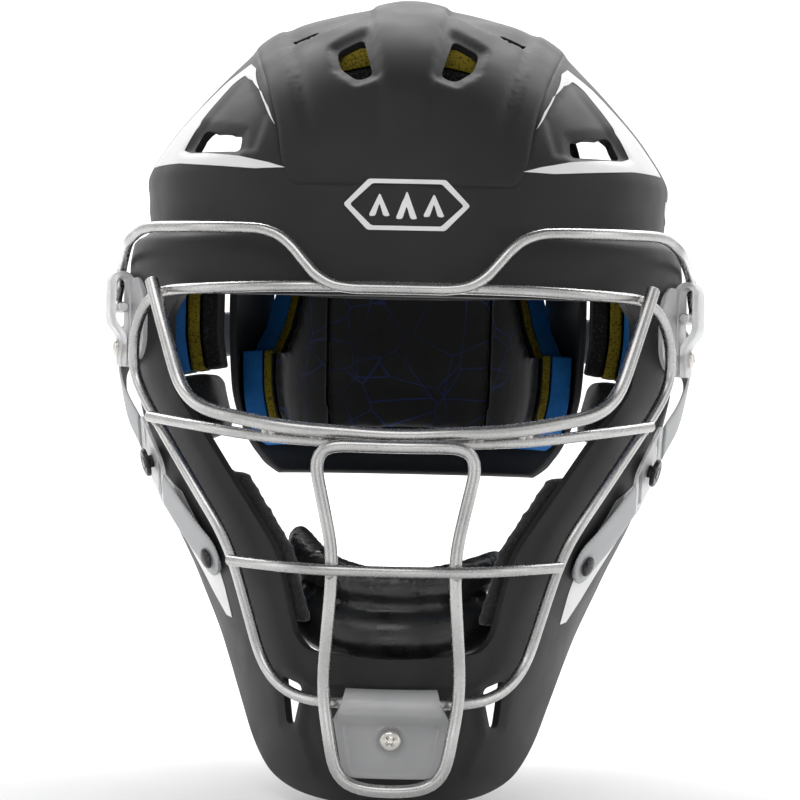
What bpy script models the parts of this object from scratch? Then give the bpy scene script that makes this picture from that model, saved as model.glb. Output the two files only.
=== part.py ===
"""Hockey-style catcher's mask: shell, wire cage, clips, foam, straps and a hinged back plate.

Units are metres. +Z is up, the face looks along -Y and +X is the wearer's left. The origin is the
middle of the head space, level with the eyes.

The shells are drawn once, at DRAWN sizes, as stacks of horizontal sections. WIDTH, HEIGHT and DEPTH
stretch that drawing, and every pad, wire, clip and strap is placed on the stretched surfaces. Walls,
wire diameters, foam thicknesses, fasteners and clearances are sizes of their own.
"""

import math

import bmesh
import bpy
import numpy as np
from mathutils import Matrix, Vector

# Overall sizes: shell width across the brow, crown to chin lip, and brow to back plate.
WIDTH = 0.231
HEIGHT = 0.3265
DEPTH = 0.270
DRAWN_WIDTH = 0.231
DRAWN_HEIGHT = 0.3265
DRAWN_DEPTH = 0.270

# Walls and clearances.
SHELL_WALL = 0.0032
BACK_WALL = 0.0030
GAP = 0.0004
FOAM_GAP = 0.0017
LAYER_GAP = 0.0009

# Wires of the cage.
FRAME_WIRE = 0.0044
EYE_WIRE = 0.0054
BAR_WIRE = 0.0043
LOOP_WIRE = 0.0048
WIRE_BEND = 0.009

# Foam layers, from the shell inwards: rigid blue, impact yellow and soft black.
BROW_FOAMS = (0.0130, 0.0050, 0.0065)
TEMPLE_FOAMS = (0.0175, 0.0050, 0.0065)
CROWN_FOAMS = (0.0070, 0.0070)
BACK_FOAMS = (0.0085, 0.0032, 0.0045)
CHEEK_FOAM = 0.0280
JAW_FOAM = 0.0070
CHIN_PAD_THICK = 0.0114
CHIN_PAD_TALL = 0.0180
JAW_PAD_MARGIN = 0.0045
CROWN_SLOPE_ROOM = 1.25

# Fasteners.
SCREW_SHANK = 0.0019
SCREW_HOLE = 0.0023
SCREW_HEAD = 0.0040
SCREW_HEAD_HEIGHT = 0.0022
NUT_RADIUS = 0.0052
NUT_HEIGHT = 0.0030
NUT_SEAT = SHELL_WALL + 0.0017
SCREW_TAIL = 0.0010
RIVET_RADIUS = 0.0042
RIVET_HEIGHT = 0.0016

# Clips, straps and their hooks.
CLIP_WALL = 0.0024
CLIP_LENGTH = 0.024
CLIP_RISE = 0.0100
CLIP_PINCH = 0.0110
CLIP_DROP = 0.0240
CLIP_SCREW_DROP = 0.0165
ROD_FRONT = 0.0172
STRAP_WIDTH = 0.020
STRAP_THICKNESS = 0.0018
STUD_RADIUS = 0.0058
STUD_NECK = 0.0026
STUD_HEIGHT = 0.0072
HOOK_THICKNESS = 0.0014
HOOK_LENGTH = 0.032
HOOK_WIDTH = 0.027
HOOK_BAR = 0.0030
HOOK_SLOT = 0.0046
HOOK_PLAY = 0.0005
STRAP_PLAY = 0.0012
STRAP_LIFT = 0.0024
CROWN_STRAP_WIDTH = 0.038
CROWN_STRAP_THICKNESS = 0.0020
CROWN_STRAP_ROOM = 0.0010
CROWN_RIVET_X = 0.0110
CROWN_RIVET_LIFT = 0.0008
RIVET_TAIL = 0.0010
STUD_FLANGE = 0.0016
ROUND_END_SHARE = 0.55
CLIP_SEAT_GAP = GAP
CHIN_CLIP_HALF = 0.0215
CHIN_CLIP_DROP = 0.0145
CHIN_CLIP_STEPS = 8
CHIN_PINCH = 0.0062
CHIN_CLIP_ROOM = 0.0012
CHIN_FOLD_ROOM = 0.0010

# Fineness of the mesh, and the reach of cutters that run right through.
RING_STEPS = 48
WIRE_SPACING = 0.022
PLACING_ROUNDS = 8
FAR = 0.4

# Sections of the front shell, crown to chin: height, half width, front y, rear y, y of the widest
# point, and squareness (2 is an ellipse).
FRONT_SECTIONS = (
    (0.1500, 0.0000, 0.0100, 0.0100, 0.010, 2.0),
    (0.1465, 0.0245, -0.0270, 0.0480, 0.010, 2.0),
    (0.1395, 0.0425, -0.0530, 0.0720, 0.010, 2.05),
    (0.1310, 0.0605, -0.0720, 0.0870, 0.009, 2.1),
    (0.1180, 0.0740, -0.0910, 0.0990, 0.008, 2.2),
    (0.1030, 0.0875, -0.1045, 0.1070, 0.006, 2.3),
    (0.0860, 0.1010, -0.1145, 0.1130, 0.004, 2.35),
    (0.0700, 0.1098, -0.1215, 0.1160, 0.002, 2.4),
    (0.0500, 0.1135, -0.1265, 0.1180, 0.000, 2.45),
    (0.0300, 0.1155, -0.1305, 0.1190, 0.000, 2.45),
    (0.0080, 0.1155, -0.1335, 0.1180, 0.000, 2.4),
    (-0.0150, 0.1125, -0.1365, 0.1140, 0.000, 2.35),
    (-0.0400, 0.1065, -0.1395, 0.1060, 0.000, 2.3),
    (-0.0650, 0.0985, -0.1420, 0.0950, 0.000, 2.25),
    (-0.0950, 0.0845, -0.1445, 0.0820, 0.000, 2.2),
    (-0.1200, 0.0750, -0.1460, 0.0700, 0.000, 2.2),
    (-0.1450, 0.0700, -0.1470, 0.0600, 0.000, 2.2),
    (-0.1640, 0.0680, -0.1430, 0.0600, 0.000, 2.2),
    (-0.1780, 0.0640, -0.1300, 0.0600, 0.000, 2.2),
)
# Sections of the back plate, in the same terms.
BACK_SECTIONS = (
    (0.1420, 0.0000, 0.0400, 0.0400, 0.040, 2.0),
    (0.1360, 0.0330, 0.0080, 0.0640, 0.038, 2.1),
    (0.1260, 0.0540, -0.0100, 0.0820, 0.036, 2.2),
    (0.1080, 0.0680, -0.0200, 0.0990, 0.035, 2.25),
    (0.0850, 0.0755, -0.0250, 0.1120, 0.035, 2.3),
    (0.0550, 0.0785, -0.0250, 0.1205, 0.035, 2.35),
    (0.0200, 0.0790, -0.0250, 0.1240, 0.035, 2.4),
    (-0.0150, 0.0775, -0.0250, 0.1190, 0.035, 2.4),
    (-0.0400, 0.0725, -0.0250, 0.1090, 0.035, 2.4),
    (-0.0620, 0.0660, -0.0250, 0.0970, 0.035, 2.4),
)

# The recess round the sides above the brow band: height and depth, from the band's ledge upwards.
GROOVE = ((0.0440, 0.0), (0.0500, 0.0052), (0.0600, 0.0036), (0.0700, 0.0))
GROOVE_STARTS = 0.028
GROOVE_FULL = 0.075

# Face opening, seen from the front: half outline as x, z.
OPENING = (
    (0.0000, 0.0200),
    (0.0880, 0.0200),
    (0.0940, 0.0130),
    (0.0925, -0.0130),
    (0.0755, -0.0340),
    (0.0560, -0.0645),
    (0.0462, -0.0790),
    (0.0425, -0.0940),
    (0.0385, -0.1110),
    (0.0330, -0.1168),
    (0.0000, -0.1190),
)
# What is left of the front shell, seen from the side: its rear and lower edge as y, z.
REAR_EDGE = (
    (0.0420, 0.2000),
    (0.0420, 0.1150),
    (0.0390, 0.0600),
    (0.0370, 0.0000),
    (0.0320, -0.0260),
    (0.0080, -0.0550),
    (-0.1320, -0.1765),
    (-0.2000, -0.1765),
)
# What is left of the back plate, seen from the side: its front and lower edge as y, z.
BACK_EDGE = (
    (0.0540, 0.2000),
    (0.0540, 0.1180),
    (0.0450, 0.0900),
    (0.0440, -0.0140),
    (0.0520, -0.0300),
    (0.0640, -0.0440),
    (0.0780, -0.0540),
    (0.2000, -0.0540),
)
JAW_VENT = ((0.0352, -0.1305), (0.0440, -0.1275), (0.0415, -0.1460), (0.0385, -0.1460))
CROWN_VENT = ((0.0183, 0.1262), (0.0290, 0.1200), (0.0270, 0.1120), (0.0197, 0.1067), (0.0135, 0.1090))
SIDE_VENT = ((0.0660, 0.0850), (0.0830, 0.0885), (0.0875, 0.0790), (0.0665, 0.0780))
BACK_VENT = ((0.0555, 0.0320), (0.0640, 0.0320), (0.0640, 0.0180), (0.0600, 0.0130), (0.0565, 0.0160))

# Foam pads as y, z or angle, z ranges on their shell; angles are degrees round from the face.
BROW_ANGLES = (-50.0, 50.0)
BROW_HEIGHTS = (0.0235, 0.0600)
TEMPLE_ANGLES = (77.0, 99.0)
TEMPLE_HEIGHTS = (-0.0140, 0.0560)
CHEEK_ANGLES = (84.0, 104.0)
CHEEK_HEIGHTS = (-0.0450, -0.0165)
JAW_HEIGHTS = (-0.1080, -0.0550)
CHIN_PAD_HALF = 0.0430
CHIN_PAD_FRONT = -0.1240
CHIN_PAD_BACK = -0.0560
CHIN_PAD_Z = -0.1020
CHIN_PAD_LIFT = 0.0160
CHIN_PAD_TURN = 82.0
CROWN_REACH_X = 0.040
CROWN_REACH_Y = (-0.078, 0.020)
BACK_HEIGHTS = (-0.0430, 0.0880)
BACK_PAD_MARGIN = 0.0060
LINER_PANELS = (("left", 0.0, 144.0, 4), ("centre", 147.0, 213.0, 4), ("right", 216.0, 360.0, 4))
CROWN_STRAP_FRONT = (0.0235, 0.0300, 0.0390)
CROWN_STRAP_BACK = (0.0530, 0.0640, 0.0730, 0.0820, 0.0890)

# Cage wires: half outlines of their centre lines from the middle outwards, as x, z and the height
# over the shell's surface.
FRAME_PATH = (
    (0.0000, 0.0231, 0.0065),
    (0.0500, 0.0228, 0.0065),
    (0.1000, 0.0212, 0.0068),
    (0.1076, 0.0060, 0.0070),
    (0.1080, -0.0105, 0.0072),
    (0.1030, -0.0205, 0.0070),
    (0.0677, -0.0725, 0.0070),
    (0.0626, -0.0843, 0.0070),
    (0.0510, -0.1217, 0.0078),
    (0.0435, -0.1310, 0.0078),
    (0.0330, -0.1348, 0.0075),
    (0.0000, -0.1350, 0.0075),
)
HAT_PATH = (
    (0.0000, 0.0222, 0.0116),
    (0.0290, 0.0222, 0.0116),
    (0.0470, 0.0448, 0.0100),
    (0.1060, 0.0468, 0.0110),
    (0.1112, 0.0408, 0.0095),
)
EYE_PATH = (
    (0.0000, -0.0339, 0.0160),
    (0.0450, -0.0312, 0.0160),
    (0.0828, -0.0234, 0.0155),
    (0.0985, 0.0250, 0.0128),
)
NOSE_PATH = ((0.0000, -0.0378, 0.0119), (0.0550, -0.0347, 0.0119), (0.0990, -0.0285, 0.0122))
MOUTH_PATH = ((0.0000, -0.0843, 0.0237), (0.0350, -0.0840, 0.0232), (0.0632, -0.0826, 0.0175))
LOOP_PATH = (
    (0.0000, -0.0378, 0.0202),
    (0.0320, -0.0374, 0.0202),
    (0.0233, -0.0760, 0.0186),
    (0.0231, -0.0880, 0.0184),
    (0.0256, -0.1230, 0.0145),
    (0.0254, -0.1340, 0.0136),
    (0.0200, -0.1655, 0.0148),
    (0.0000, -0.1680, 0.0148),
)

# Places on the shell, right-hand side; the left side mirrors them.
CLIP_AT = (-0.0455, 0.0155)
STUD_AT = (-0.0600, -0.0460)
HOOK_SLOPE_DEG = 47.0
JAW_STRAP_END = (-0.0975, -0.0875)
REAR_STRAP = (
    (-0.0350, -0.0215, 0.0048),
    (-0.0100, -0.0060, 0.0050),
    (0.0150, 0.0020, 0.0044),
    (0.0360, 0.0060, 0.0036),
)
STRAP_FREE = ((0.1085, 0.0480, 0.0070), (0.0970, 0.0590, 0.0076), (0.0865, 0.0680, 0.0080))
BACK_STRAP = ((0.0780, 0.0080), (0.0880, 0.0080), (0.0960, 0.0080))
CHIN_SCREW_Z = -0.1485

SX = WIDTH / DRAWN_WIDTH
SZ = HEIGHT / DRAWN_HEIGHT
SY = DEPTH / DRAWN_DEPTH


def table(rows):
    """Stretches drawn sections to the overall sizes."""
    rows = np.array(rows, dtype=float)
    rows[:, 0] *= SZ
    rows[:, 1] *= SX
    rows[:, 2:5] *= SY
    return rows[::-1]


FRONT = table(FRONT_SECTIONS)
BACK = table(BACK_SECTIONS)
START_X = GROOVE_STARTS * SX
FULL_X = GROOVE_FULL * SX


def section(shell, z):
    """Half width, front, rear, y of the widest point and squareness at height z."""
    return [float(np.interp(z, shell[:, 0], shell[:, column])) for column in range(1, 6)]


def groove(x, z):
    """How far the recess above the brow band sinks the surface."""
    depth = np.interp(z, [height * SZ for height, _ in GROOVE], [sink for _, sink in GROOVE])
    side = min(max((abs(x) - START_X) / (FULL_X - START_X), 0.0), 1.0)
    return float(depth) * side


def signed_power(value, power):
    return math.copysign(abs(value) ** power, value)


def skin(shell, angle, z, recess=True):
    """A point of the outer surface; the angle runs from the face (0) round the side to the back."""
    half, front, rear, middle, square = section(shell, z)
    across = signed_power(math.sin(angle), 2.0 / square)
    along = signed_power(math.cos(angle), 2.0 / square)
    x = half * across
    y = middle - (middle - front if along > 0 else rear - middle) * along
    if shell is FRONT and half > 0 and recess:
        sink = groove(x, z)
        x -= sink * across
        y += sink * along
    return Vector((x, y, z))


def outward(shell, angle, z):
    """The outward normal of the surface, taken without the recess, so that pads stay parallel."""
    step_a = 0.05
    step_z = 0.006
    along = skin(shell, angle + step_a, z, False) - skin(shell, angle - step_a, z, False)
    up = skin(shell, angle, z + step_z, False) - skin(shell, angle, z - step_z, False)
    normal = along.cross(up)
    if normal.length < 1e-12:
        return Vector((0, 0, 1))
    return normal.normalized()


def angle_at_x(shell, x, z):
    """The angle, on the front half, whose point has this x."""
    half, _, _, _, square = section(shell, z)
    share = min(abs(x) / half, 0.999)
    return math.copysign(math.asin(share ** (square / 2.0)), x)


def angle_at_y(shell, y, z):
    """The angle, on the +X half, whose point has this y."""
    _, front, rear, middle, square = section(shell, z)
    share = (middle - y) / (middle - front if y < middle else rear - middle)
    share = min(max(share, -0.999), 0.999)
    return math.acos(signed_power(share, square / 2.0))


def lifted(shell, angle, z, lift):
    """A point standing off the outer surface, or inside it where lift is negative."""
    return skin(shell, angle, z) + outward(shell, angle, z) * lift


def stretch_xz(points):
    return [(x * SX, z * SZ) for x, z in points]


def stretch_yz(points):
    return [(y * SY, z * SZ) for y, z in points]


# Scene, collections and materials.

for old in list(bpy.data.objects):
    bpy.data.objects.remove(old, do_unlink=True)

MASK = bpy.data.collections.new("catchers_mask")
CUTTERS = bpy.data.collections.new("cutters")
for group in (MASK, CUTTERS):
    bpy.context.scene.collection.children.link(group)

FINISHES = {
    "matte_shell": ((0.020, 0.020, 0.021), 0.50, 0.0),
    "bright_steel": ((0.62, 0.61, 0.60), 0.28, 1.0),
    "frosted_plastic": ((0.62, 0.64, 0.66), 0.35, 0.0),
    "screw_steel": ((0.70, 0.70, 0.70), 0.20, 1.0),
    "dark_steel": ((0.06, 0.06, 0.065), 0.35, 1.0),
    "blue_foam": ((0.010, 0.130, 0.420), 0.80, 0.0),
    "yellow_foam": ((0.300, 0.240, 0.012), 0.90, 0.0),
    "black_foam": ((0.015, 0.015, 0.016), 0.90, 0.0),
    "black_leather": ((0.012, 0.012, 0.013), 0.35, 0.0),
    "liner_fabric": ((0.014, 0.014, 0.018), 0.85, 0.0),
    "grey_elastic": ((0.42, 0.43, 0.44), 0.70, 0.0),
}


def make_material(name):
    colour, roughness, metallic = FINISHES[name]
    material = bpy.data.materials.new(name)
    material.use_nodes = True
    shader = material.node_tree.nodes["Principled BSDF"]
    shader.inputs["Base Color"].default_value = (*colour, 1.0)
    shader.inputs["Roughness"].default_value = roughness
    shader.inputs["Metallic"].default_value = metallic
    return material


MATERIALS = {name: make_material(name) for name in FINISHES}


def add_object(name, mesh, finish, smooth=True):
    """A new named sub-part with its own material."""
    item = bpy.data.objects.new(name, mesh)
    MASK.objects.link(item)
    mesh.materials.append(MATERIALS[finish])
    if smooth:
        mesh.shade_smooth()
        mesh.set_sharp_from_angle(angle=math.radians(35))
    return item


def add_cutter(name, mesh):
    item = bpy.data.objects.new(name, mesh)
    CUTTERS.objects.link(item)
    item.hide_render = True
    item.display_type = "WIRE"
    return item


def cut(item, cutter):
    modifier = item.modifiers.new(cutter.name, "BOOLEAN")
    modifier.operation = "DIFFERENCE"
    modifier.object = cutter
    return modifier


def mesh_from(bm, name):
    bmesh.ops.recalc_face_normals(bm, faces=bm.faces)
    mesh = bpy.data.meshes.new(name)
    bm.to_mesh(mesh)
    bm.free()
    return mesh


def look_along(origin, z_axis, x_axis):
    """A placement whose local Z runs along z_axis and local X lies towards x_axis."""
    z_axis = z_axis.normalized()
    if abs(z_axis.dot(x_axis)) > 0.99 * x_axis.length:
        x_axis = Vector((1, 0, 0))
    y_axis = z_axis.cross(x_axis).normalized()
    x_axis = y_axis.cross(z_axis)
    turn = Matrix((x_axis, y_axis, z_axis)).transposed().to_4x4()
    return Matrix.Translation(origin) @ turn


def prism(name, outline, direction, low, high):
    """A cutter: an outline in the plane across one axis, run along that axis."""
    bm = bmesh.new()
    rings = []
    for depth in (low, high):
        if direction == "Y":
            ring = [bm.verts.new((u, depth, v)) for u, v in outline]
        else:
            ring = [bm.verts.new((depth, u, v)) for u, v in outline]
        rings.append(ring)
    bm.faces.new(rings[0])
    bm.faces.new(rings[1])
    bridge(bm, rings[0], rings[1])
    return add_cutter(name, mesh_from(bm, name))


def bridge(bm, ring_a, ring_b, closed=True):
    """Faces between two rings or rows of the same length."""
    count = len(ring_a)
    for index in range(count if closed else count - 1):
        after = (index + 1) % count
        bm.faces.new((ring_a[index], ring_a[after], ring_b[after], ring_b[index]))


def mirrored_outline(half):
    """A whole outline from the half at +X, listed from the middle to the middle."""
    rest = [(-x, z) for x, z in reversed(half) if x > 0]
    return list(half) + rest


def turned(name, profile, steps=20):
    """A closed turned shape from radius, height pairs listed from the top down to the axis."""
    bm = bmesh.new()
    rings = []
    for radius, height in profile:
        if radius < 1e-9:
            rings.append([bm.verts.new((0, 0, height))])
            continue
        ring = []
        for step in range(steps):
            angle = math.tau * step / steps
            ring.append(bm.verts.new((radius * math.cos(angle), radius * math.sin(angle), height)))
        rings.append(ring)
    for upper, lower in zip(rings, rings[1:]):
        if len(upper) == 1 or len(lower) == 1:
            tip, ring = (upper[0], lower) if len(upper) == 1 else (lower[0], upper)
            for index in range(steps):
                bm.faces.new((tip, ring[index], ring[(index + 1) % steps]))
        else:
            bridge(bm, upper, lower)
    return mesh_from(bm, name)


def ring_mesh(name, outer, inner, low, high, steps=16):
    """A washer or nut: a turned rectangle clear of its axis."""
    bm = bmesh.new()
    corners = ((outer, high), (outer, low), (inner, low), (inner, high))
    rings = []
    for radius, height in corners:
        ring = []
        for step in range(steps):
            angle = math.tau * step / steps
            ring.append(bm.verts.new((radius * math.cos(angle), radius * math.sin(angle), height)))
        rings.append(ring)
    for index in range(4):
        bridge(bm, rings[index], rings[(index + 1) % 4])
    return mesh_from(bm, name)


# Shells.

GROOVE_RINGS = tuple(height for height, _ in GROOVE)


def surface(shell, heights):
    """The open outer surface: a ring of points at each height, closed at the crown."""
    bm = bmesh.new()
    rows = []
    for z in heights:
        ring = []
        for step in range(RING_STEPS):
            ring.append(bm.verts.new(skin(shell, math.tau * step / RING_STEPS, z)))
        rows.append(ring)
    for upper, lower in zip(rows, rows[1:]):
        bridge(bm, upper, lower)
    crown = bm.verts.new((0, section(shell, shell[-1, 0])[3], shell[-1, 0]))
    for step in range(RING_STEPS):
        bm.faces.new((crown, rows[0][step], rows[0][(step + 1) % RING_STEPS]))
    return bm


def add_shell(name, shell, heights, wall):
    mesh = mesh_from(surface(shell, heights), name)
    item = add_object(name, mesh, "matte_shell")
    thicken = item.modifiers.new("wall", "SOLIDIFY")
    thicken.thickness = wall
    thicken.offset = -1.0
    thicken.use_even_offset = True
    return item


front_heights = sorted({row[0] for row in FRONT[:-1]} | {z * SZ for z in GROOVE_RINGS}, reverse=True)
front_shell = add_shell("front_shell", FRONT, front_heights, SHELL_WALL)
back_heights = sorted((row[0] for row in BACK[:-1]), reverse=True)
back_shell = add_shell("back_shell", BACK, back_heights, BACK_WALL)

rear_cut = stretch_yz(REAR_EDGE) + [(-0.2 * SY, -FAR), (FAR, -FAR), (FAR, 0.2 * SZ)]
cut(front_shell, prism("rear_cut", rear_cut, "X", -FAR, FAR))
cut(front_shell, prism("face_cut", mirrored_outline(stretch_xz(OPENING)), "Y", -FAR, 0.0))
back_cut = stretch_yz(BACK_EDGE) + [(FAR, -FAR), (-FAR, -FAR), (-FAR, 0.2 * SZ)]
cut(back_shell, prism("back_cut", back_cut, "X", -FAR, FAR))

for side, sign in (("left", 1), ("right", -1)):
    for vent_name, vent in (("jaw_vent", JAW_VENT), ("crown_vent", CROWN_VENT), ("side_vent", SIDE_VENT)):
        outline = [(sign * x, z) for x, z in stretch_xz(vent)]
        cut(front_shell, prism(f"{side}_{vent_name}", outline, "Y", -FAR, 0.0))
    outline = [(sign * x, z) for x, z in stretch_xz(BACK_VENT)]
    cut(back_shell, prism(f"{side}_back_vent", outline, "Y", 0.0, FAR))


# Cage.

def rounded(points, radius, steps=3):
    """A path in x, z, lift with each inner corner replaced by an arc."""
    path = [np.array(points[0])]
    for before, corner, after in zip(points, points[1:], points[2:]):
        before, corner, after = (np.array(point, dtype=float) for point in (before, corner, after))
        inward = before - corner
        onward = after - corner
        reach = min(radius, 0.45 * np.linalg.norm(inward), 0.45 * np.linalg.norm(onward))
        start = corner + inward / np.linalg.norm(inward) * reach
        end = corner + onward / np.linalg.norm(onward) * reach
        for step in range(steps + 1):
            share = step / steps
            path.append((1 - share) ** 2 * start + 2 * share * (1 - share) * corner + share ** 2 * end)
    path.append(np.array(points[-1]))
    return path


def spread(path, spacing):
    """Adds points along the straight stretches of a path."""
    result = [path[0]]
    for before, after in zip(path, path[1:]):
        pieces = max(1, round(float(np.linalg.norm(after - before)) / spacing))
        for piece in range(1, pieces + 1):
            result.append(before + (after - before) * piece / pieces)
    return result


def whole_path(half, closed):
    """Both halves of a path listed from its middle outwards at +X."""
    other = [(-x, z, lift) for x, z, lift in half]
    if closed:
        return list(half) + other[-2:0:-1]
    return other[:0:-1] + list(half)


def on_shell(point):
    """The place of a path point, x, z and lift, over the front of the shell."""
    x, z, lift = (float(value) for value in point)
    base_x, base_z = x, z
    for _ in range(PLACING_ROUNDS):
        place = lifted(FRONT, angle_at_x(FRONT, base_x, base_z), base_z, lift)
        base_x += x - place.x
        base_z += z - place.z
    return place


def wire_places(half, closed, bend):
    stretched = [(x * SX, z * SZ, lift) for x, z, lift in whole_path(half, closed)]
    if closed:
        stretched = stretched[-1:] + stretched + stretched[:1]
        path = spread(rounded(stretched, bend)[1:-1], WIRE_SPACING)
    else:
        path = spread(rounded(stretched, bend), WIRE_SPACING)
    return [on_shell(point) for point in path]


def add_wire(name, places, diameter, closed, finish="bright_steel"):
    """A round rod through a list of places."""
    curve = bpy.data.curves.new(name, "CURVE")
    curve.dimensions = "3D"
    curve.bevel_depth = diameter / 2
    curve.bevel_resolution = 2
    curve.use_fill_caps = True
    spline = curve.splines.new("POLY")
    spline.points.add(len(places) - 1)
    for point, place in zip(spline.points, places):
        point.co = (*place, 1.0)
    spline.use_cyclic_u = closed
    item = bpy.data.objects.new(name, curve)
    MASK.objects.link(item)
    curve.materials.append(MATERIALS[finish])
    return item


CAGE = (
    ("cage_outer_frame", FRAME_PATH, FRAME_WIRE, True),
    ("cage_eye_frame", EYE_PATH, EYE_WIRE, False),
    ("cage_nose_bar", NOSE_PATH, BAR_WIRE, False),
    ("cage_mouth_bar", MOUTH_PATH, BAR_WIRE, False),
    ("cage_centre_loop", LOOP_PATH, LOOP_WIRE, True),
)
for name, half, diameter, closed in CAGE:
    add_wire(name, wire_places(half, closed, WIRE_BEND), diameter, closed)


# Side clips, with the ends of the top wire held in their loops.

class Seat:
    """A place on the front shell with its outward, forward and upward directions."""

    def __init__(self, sign, y, z):
        angle = angle_at_y(FRONT, y * SY, z * SZ)
        self.sign = sign
        self.place = skin(FRONT, angle, z * SZ)
        normal = outward(FRONT, angle, z * SZ)
        self.normal = Vector((normal.x, normal.y, 0)).normalized()
        self.tilted = normal
        for vector in (self.place, self.normal, self.tilted):
            vector.x *= sign
        self.rear = Vector((0, 0, 1)).cross(self.normal) * sign

    def point(self, rear, out, up=0.0):
        return self.place + self.rear * rear + self.normal * out + Vector((0, 0, up))


def offset_outline(centre, half_width):
    """A strip of constant width along a centre line, as one closed outline."""
    left, right = [], []
    for index, point in enumerate(centre):
        before = np.array(centre[max(index - 1, 0)])
        after = np.array(centre[min(index + 1, len(centre) - 1)])
        along = (after - before) / np.linalg.norm(after - before)
        across = np.array((-along[1], along[0])) * half_width
        left.append(np.array(point) + across)
        right.append(np.array(point) - across)
    return left + right[::-1]


def extruded(name, outline, frame, low, high):
    """An outline in a frame's XY plane run along its Z."""
    bm = bmesh.new()
    lower = [bm.verts.new(frame @ Vector((u, v, low))) for u, v in outline]
    upper = [bm.verts.new(frame @ Vector((u, v, high))) for u, v in outline]
    bm.faces.new(lower)
    bm.faces.new(upper)
    bridge(bm, lower, upper)
    return mesh_from(bm, name)


def clip_centre_line(fold_radius):
    """Inner leg up from the bottom, the fold over the top, and the outer leg closing below the rod."""
    inner = CLIP_SEAT_GAP + CLIP_WALL / 2
    outer = inner + 2 * fold_radius
    closed = inner + CLIP_WALL + GAP
    line = [(-CLIP_DROP, inner), (0.0, inner), (CLIP_RISE, inner)]
    for step in range(1, 8):
        angle = math.pi * step / 8
        line.append((CLIP_RISE + fold_radius * math.sin(angle), inner + fold_radius * (1 - math.cos(angle))))
    line += [(CLIP_RISE, outer), (-fold_radius * 1.6, outer), (-CLIP_PINCH, closed), (-CLIP_DROP, closed)]
    return line


HEAD_PROFILE = (
    (0.0, SCREW_HEAD_HEIGHT),
    (SCREW_HEAD * 0.6, SCREW_HEAD_HEIGHT * 0.9),
    (SCREW_HEAD * 0.95, SCREW_HEAD_HEIGHT * 0.5),
    (SCREW_HEAD, 0.0),
)


def add_screw(name, head_seat, direction, length):
    """A pan-head screw whose head sits at head_seat; its shank runs against direction."""
    profile = HEAD_PROFILE + ((SCREW_SHANK, 0.0), (SCREW_SHANK, -length), (0.0, -length))
    item = add_object(name, turned(name, profile, 12), "screw_steel")
    side = Vector((0, 0, 1)) if abs(direction.z) < 0.9 else Vector((0, 1, 0))
    item.matrix_world = look_along(head_seat, direction, side)
    return item


def add_nut(name, place, direction):
    """A round T-nut inside the shell; its bore clears the screw."""
    mesh = ring_mesh(name, NUT_RADIUS, SCREW_HOLE, -NUT_HEIGHT, 0.0)
    item = add_object(name, mesh, "dark_steel")
    item.matrix_world = look_along(place, direction, Vector((0, 0, 1)))
    return item


def bore(name, place, direction, radius, low, high, steps=16):
    """A cylinder cutter along a direction."""
    profile = ((0.0, high), (radius, high), (radius, low), (0.0, low))
    cutter = add_cutter(name, turned(name, profile, steps))
    cutter.matrix_world = look_along(place, direction, Vector((0, 0, 1)))
    return cutter


FOLD_RADIUS = BAR_WIRE / 2 + GAP + CLIP_WALL / 2
ROD_OUT = CLIP_SEAT_GAP + CLIP_WALL / 2 + FOLD_RADIUS
CLIP_STACK = CLIP_SEAT_GAP + 2 * CLIP_WALL + GAP

clip_seats = {}
for side, sign in (("left", 1), ("right", -1)):
    seat = Seat(sign, *CLIP_AT)
    clip_seats[side] = seat
    basis = Matrix((Vector((0, 0, 1)), seat.normal, seat.rear)).transposed().to_4x4()
    frame = Matrix.Translation(seat.place) @ basis
    outline = offset_outline(clip_centre_line(FOLD_RADIUS), CLIP_WALL / 2)
    clip_mesh = extruded(f"{side}_side_clip", outline, frame, -CLIP_LENGTH / 2, CLIP_LENGTH / 2)
    clip = add_object(f"{side}_side_clip", clip_mesh, "frosted_plastic")
    head = seat.point(0.0, CLIP_STACK + GAP, -CLIP_SCREW_DROP)
    hole = bore(f"{side}_clip_hole", head, seat.normal, SCREW_HOLE, -0.03, 0.01)
    cut(clip, hole)
    cut(front_shell, hole)
    low = Seat(sign, CLIP_AT[0], CLIP_AT[1] - CLIP_SCREW_DROP / SZ)
    depth = (seat.place - low.place).dot(seat.normal) + NUT_SEAT
    add_screw(f"{side}_clip_screw", head, seat.normal, CLIP_STACK + depth + NUT_HEIGHT + SCREW_TAIL)
    add_nut(f"{side}_clip_nut", seat.point(0.0, -depth, -CLIP_SCREW_DROP), seat.normal)


def top_wire_places():
    """The top wire: over the brow, down behind both clips, then forward through their folds."""
    half = wire_places(HAT_PATH, False, WIRE_BEND)
    ends = {}
    behind = CLIP_LENGTH / 2 + BAR_WIRE
    for side, seat in clip_seats.items():
        ends[side] = [
            seat.point(behind, ROD_OUT - 0.0020, 0.0180),
            seat.point(behind, ROD_OUT - 0.0008, 0.0080),
            seat.point(behind - 0.0008, ROD_OUT, 0.0040),
            seat.point(behind - 0.004, ROD_OUT, 0.0008),
            seat.point(behind - 0.009, ROD_OUT, 0.0),
            seat.point(-ROD_FRONT, ROD_OUT, 0.0),
        ]
    return ends["right"][::-1] + half + ends["left"]


add_wire("cage_top_wire", top_wire_places(), BAR_WIRE, False)


# Chin clip over the frame wire and the loop, held by one screw.


def front_of(x, z):
    """The y of the front shell's outer surface at x, z."""
    return skin(FRONT, angle_at_x(FRONT, x, z), z).y


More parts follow.
